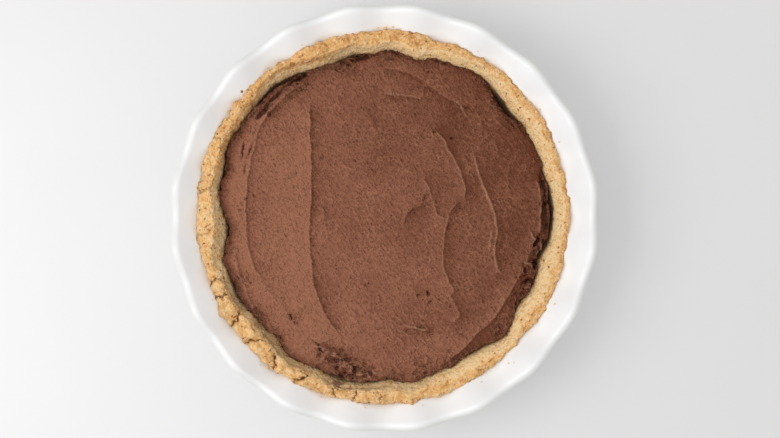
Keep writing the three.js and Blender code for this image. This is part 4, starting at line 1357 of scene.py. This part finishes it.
class TART_OT_filling(Operator):
    """Makes the filling, with the marks of the spatula and its torn edges"""

    bl_idname = "tart.filling"
    bl_label = "Filling"

    def execute(self, context):
        settings = context.scene.tart.filling
        rings = settings.rings
        count = 6 * rings
        around = np.arange(count) * TURN / count
        rim, ragged = ragged_edge(around)
        sizes = [6 * k for k in range(1, rings + 1)]
        theta = np.concatenate([np.zeros(1)] + [np.arange(n) * TURN / n for n in sizes])
        share = np.repeat(np.arange(rings + 1) / rings, [1] + sizes)
        edge = np.interp(theta, np.append(around, TURN), np.append(rim, rim[0]))
        x = edge * share * np.cos(np.radians(theta))
        y = edge * share * np.sin(np.radians(theta))
        z, pale, thin, torn_and_shaded, crumpled = filling_relief(x, y, edge)
        faces, start = disc_faces(rings)
        sides, centre = filling_sides(around, rim, ragged, z[start:])
        for _ in sides:
            for i in range(count):
                j = (i + 1) % count
                faces.append((start + i, start + count + i, start + count + j, start + j))
            start += count
        faces += [(start + i, start + count, start + (i + 1) % count) for i in range(count)]
        vertices = np.vstack([np.stack((x, y, z), axis=-1), *sides, centre])
        piece = new_object("chocolate_filling", vertices, faces)

        # painted light: paler towards the light on the left, with faint random unevenness
        dry = 0.58 - 0.42 * (0.91 * x + 0.42 * y) / 90 + 0.08 * swell(x, y, 45, 2.7)
        # painted shadow of the pastry rim along the filling's edge, strongest on the left
        rim_shadow = 0.2 + bumps_at(theta, RIM_SHADOW_SIDES)
        rim_shadow *= smoothstep(edge * (1 - share), 8.0, 1.0)
        below = len(vertices) - len(x)
        # down the sides and underneath, the filling takes painted shade
        for name, values, underneath in (
            ("pale", dry + 0.22 * pale - 0.4 * rim_shadow, 0.0),
            ("thin", 0.8 * thin, 0.0),
            ("broken", crumpled, 0.0),
            ("torn_and_shaded", np.maximum(0.8 * torn_and_shaded, 0.5 * rim_shadow), 0.9),
        ):
            add_attribute(piece, name, np.append(values, np.full(below, underneath)))
        finish_piece(piece, "filling", chocolate_cream(settings))
        return {"FINISHED"}


# ---- Crumbs ----

# crumbs that fell on the dish and lumps at its edge: (angle, radius, size, shade)
FALLEN = (
    (138.5, 121.3, 1.9, 0.95), (145.6, 120.6, 2.2, 0.75), (232, 121.6, 1.8, 0.5), (229.8, 122.3, 1.2, 0.4),
    (310.5, 121.4, 1.3, 0.45), (87.5, 122.0, 1.4, 0.4), (89.8, 121.4, 1.9, 0.45), (92.0, 121.2, 1.2, 0.5),
    (85.4, 121.0, 1.0, 0.35), (190.2, 121.3, 1.3, 0.2), (205.5, 121.2, 1.1, 0.5), (23.5, 121.2, 1.3, 0.5),
    (35.0, 121.1, 1.0, 0.55), (311.8, 122.8, 0.9, 0.4), (300.6, 121.0, 1.1, 0.5), (333.2, 121.0, 1.2, 0.4),
    (160.5, 120.9, 1.3, 0.6), (171.0, 121.0, 1.2, 0.35), (60.8, 121.2, 1.1, 0.5), (250.5, 121.2, 1.2, 0.5),
    (264.0, 121.0, 1.4, 0.35), (281.5, 121.3, 1.0, 0.5), (115.5, 121.4, 1.2, 0.4), (128.0, 121.2, 1.1, 0.6),
)


def add_crumb(shell, centre, size, seed):
    """Adds one angular crumb to a bmesh, with its centre and size in millimetres."""
    draw = random.Random(seed)
    crumb = bmesh.ops.create_icosphere(shell, subdivisions=2, radius=0.5)
    stretch = Vector((draw.uniform(0.8, 1.3), draw.uniform(0.7, 1.0), draw.uniform(0.5, 0.8)))
    turn = Euler((0, 0, draw.uniform(0, math.tau)))
    for vertex in crumb["verts"]:
        place = vertex.co * (1 + 0.45 * noise.noise(vertex.co * 4 + Vector((seed, 0, 0))))
        place = Vector(a * b for a, b in zip(place, stretch))
        place.rotate(turn)
        vertex.co = (place * size + centre) * MM
    return crumb["verts"]


def scattered_crumbs_tree():
    """Scatters a crumb over the faces of a piece, as densely as the attribute `crumbly` says, each
    with a size, a turn and a shade of its own."""
    tree, given = new_geometry_tree("scattered_crumbs", (
        ("Crumb", "NodeSocketObject"),
        ("Density", "NodeSocketFloat"),
        ("Smallest", "NodeSocketFloat"),
        ("Largest", "NodeSocketFloat"),
        ("Seed", "NodeSocketInt"),
        ("Material", "NodeSocketMaterial"),
    ))
    crumbly = add_node(tree, "GeometryNodeInputNamedAttribute", {"Name": "crumbly"}, data_type="FLOAT")
    density = add_node(tree, "ShaderNodeMath", {0: crumbly, 1: given["Density"]}, operation="MULTIPLY")
    spread = add_node(tree, "GeometryNodeDistributePointsOnFaces", {
        "Mesh": given["Geometry"], "Density": density, "Seed": given["Seed"],
    })
    # the sockets of Random Value share their names, so they go by number: 2 and 3 are the least and
    # the most of a number, 8 is the seed
    size = add_node(
        tree, "FunctionNodeRandomValue",
        {2: given["Smallest"], 3: given["Largest"], 8: given["Seed"]}, 1, data_type="FLOAT",
    )
    turn = add_node(
        tree, "FunctionNodeRandomValue", {1: (math.tau,) * 3, 8: given["Seed"]}, 0,
        data_type="FLOAT_VECTOR",
    )
    shade = add_node(tree, "FunctionNodeRandomValue", {8: 3}, 1, data_type="FLOAT")
    crumb = add_node(tree, "GeometryNodeObjectInfo", {"Object": given["Crumb"]}, "Geometry")
    placed = add_node(tree, "GeometryNodeInstanceOnPoints", {
        "Points": spread, "Instance": crumb, "Rotation": turn, "Scale": size,
    })
    shaded = add_node(
        tree, "GeometryNodeStoreNamedAttribute", {"Geometry": placed, "Name": "shade", "Value": shade},
        data_type="FLOAT", domain="INSTANCE",
    )
    finish_tree(tree, shaded, given["Material"])
    return tree


def sample_crumb():
    """One small, angular grain, a millimetre across."""
    shell = bmesh.new()
    bmesh.ops.create_icosphere(shell, subdivisions=1, radius=0.5 * MM)
    for k, vertex in enumerate(shell.verts):
        vertex.co *= 1 + 0.35 * math.sin(7.3 * k)
        vertex.co.z *= 0.7
    return keep_shell("crumb", shell)


def fallen_crumbs(dish):
    """The crumbs that fell on the dish, as one object."""
    shell = bmesh.new()
    shades = []
    heights = np.linspace(25, 44, 60)
    for seed, (angle, radius, size, shade) in enumerate(FALLEN):
        z = np.interp(radius, wall_radius(heights), heights)
        r, z = ruffled(radius, z, angle, dish)
        centre = Vector((r * math.cos(math.radians(angle)), r * math.sin(math.radians(angle)), z))
        centre += Vector((-centre.x / r, -centre.y / r, 0.8)) * size * 0.2
        shades += [shade] * len(add_crumb(shell, centre, 0.85 * size, seed))
    fallen = keep_shell("fallen_crumbs", shell)
    add_attribute(fallen, "shade", shades)
    return fallen


class TART_OT_crumbs(Operator):
    """Scatters loose grains on the pastry's rim and a few crumbs on the dish"""

    bl_idname = "tart.crumbs"
    bl_label = "Crumbs"

    def execute(self, context):
        settings = context.scene.tart.crust
        material = loose_crumb(settings)
        crust = bpy.data.objects["nut_crust"]
        grains = bpy.data.objects.new("rim_crumbs", crust.data.copy())
        context.scene.collection.objects.link(grains)
        sample = sample_crumb()
        apply_tree(grains, scattered_crumbs_tree(), {
            "Crumb": sample,
            "Density": settings.crumbs,
            "Smallest": settings.smallest / MM,
            "Largest": settings.largest / MM,
            "Seed": settings.seed,
            "Material": material,
        })
        bpy.data.objects.remove(sample)
        finish_piece(grains, None, None)
        finish_piece(fallen_crumbs(context.scene.tart.dish), None, material)
        return {"FINISHED"}


# ---- Stage ----

TABLE_SIDE = 3.2
SENSOR_WIDTH = 36.0


class TART_OT_stage(Operator):
    """Makes the table top, the light and the camera"""

    bl_idname = "tart.stage"
    bl_label = "Stage"

    def execute(self, context):
        settings = context.scene.tart.stage
        scene = context.scene
        side = TABLE_SIDE / 2 / MM
        corners = [(-side, -side, 0), (side, -side, 0), (side, side, 0), (-side, side, 0)]
        table = new_object("table_top", corners, [(0, 1, 2, 3)], smooth=False)
        table.data.materials.append(matt_table(settings))

        lens = bpy.data.cameras.new("camera")
        lens.lens = settings.lens
        lens.sensor_width = SENSOR_WIDTH
        camera = bpy.data.objects.new("camera", lens)
        camera.location = (settings.camera_x, settings.camera_y, settings.camera_height)
        scene.collection.objects.link(camera)
        scene.camera = camera

        pane = bpy.data.lights.new("window", "AREA")
        pane.shape = "SQUARE"
        pane.size = settings.window_size
        pane.energy = settings.window_power
        window = bpy.data.objects.new("window", pane)
        heading, elevation = settings.window_heading, settings.window_elevation
        window.location = settings.window_distance * Vector((
            math.cos(heading) * math.cos(elevation),
            math.sin(heading) * math.cos(elevation),
            math.sin(elevation),
        ))
        window.rotation_euler = window.location.to_track_quat("Z", "Y").to_euler()
        scene.collection.objects.link(window)

        world = bpy.data.worlds.new("room")
        world.use_nodes = True
        background = world.node_tree.nodes["Background"]
        background.inputs["Color"].default_value = (1.0, 1.0, 1.0, 1.0)
        background.inputs["Strength"].default_value = settings.room
        scene.world = world
        scene.view_settings.view_transform = "Standard"
        return {"FINISHED"}


# ---- Add-on ----


class TART_PT_panel(Panel):
    """Lists the steps that make the tart"""

    bl_idname = "TART_PT_panel"
    bl_label = "Chocolate Tart"
    bl_space_type = "VIEW_3D"
    bl_region_type = "UI"
    bl_category = "Tart"

    def draw(self, context):
        for operator in OPERATORS:
            self.layout.operator(operator.bl_idname)


SETTINGS = (DishSettings, CrustSettings, FillingSettings, StageSettings, TartSettings)
OPERATORS = (TART_OT_dish, TART_OT_crust, TART_OT_filling, TART_OT_crumbs, TART_OT_stage)


def register():
    for cls in (*SETTINGS, *OPERATORS, TART_PT_panel):
        bpy.utils.register_class(cls)
    bpy.types.Scene.tart = PointerProperty(type=TartSettings)


def unregister():
    del bpy.types.Scene.tart
    for cls in reversed((*SETTINGS, *OPERATORS, TART_PT_panel)):
        bpy.utils.unregister_class(cls)


def main():
    register()
    bpy.ops.tart.stage()
    bpy.ops.tart.dish()
    bpy.ops.tart.crust()
    bpy.ops.tart.filling()
    bpy.ops.tart.crumbs()


if __name__ == "__main__":
    main()
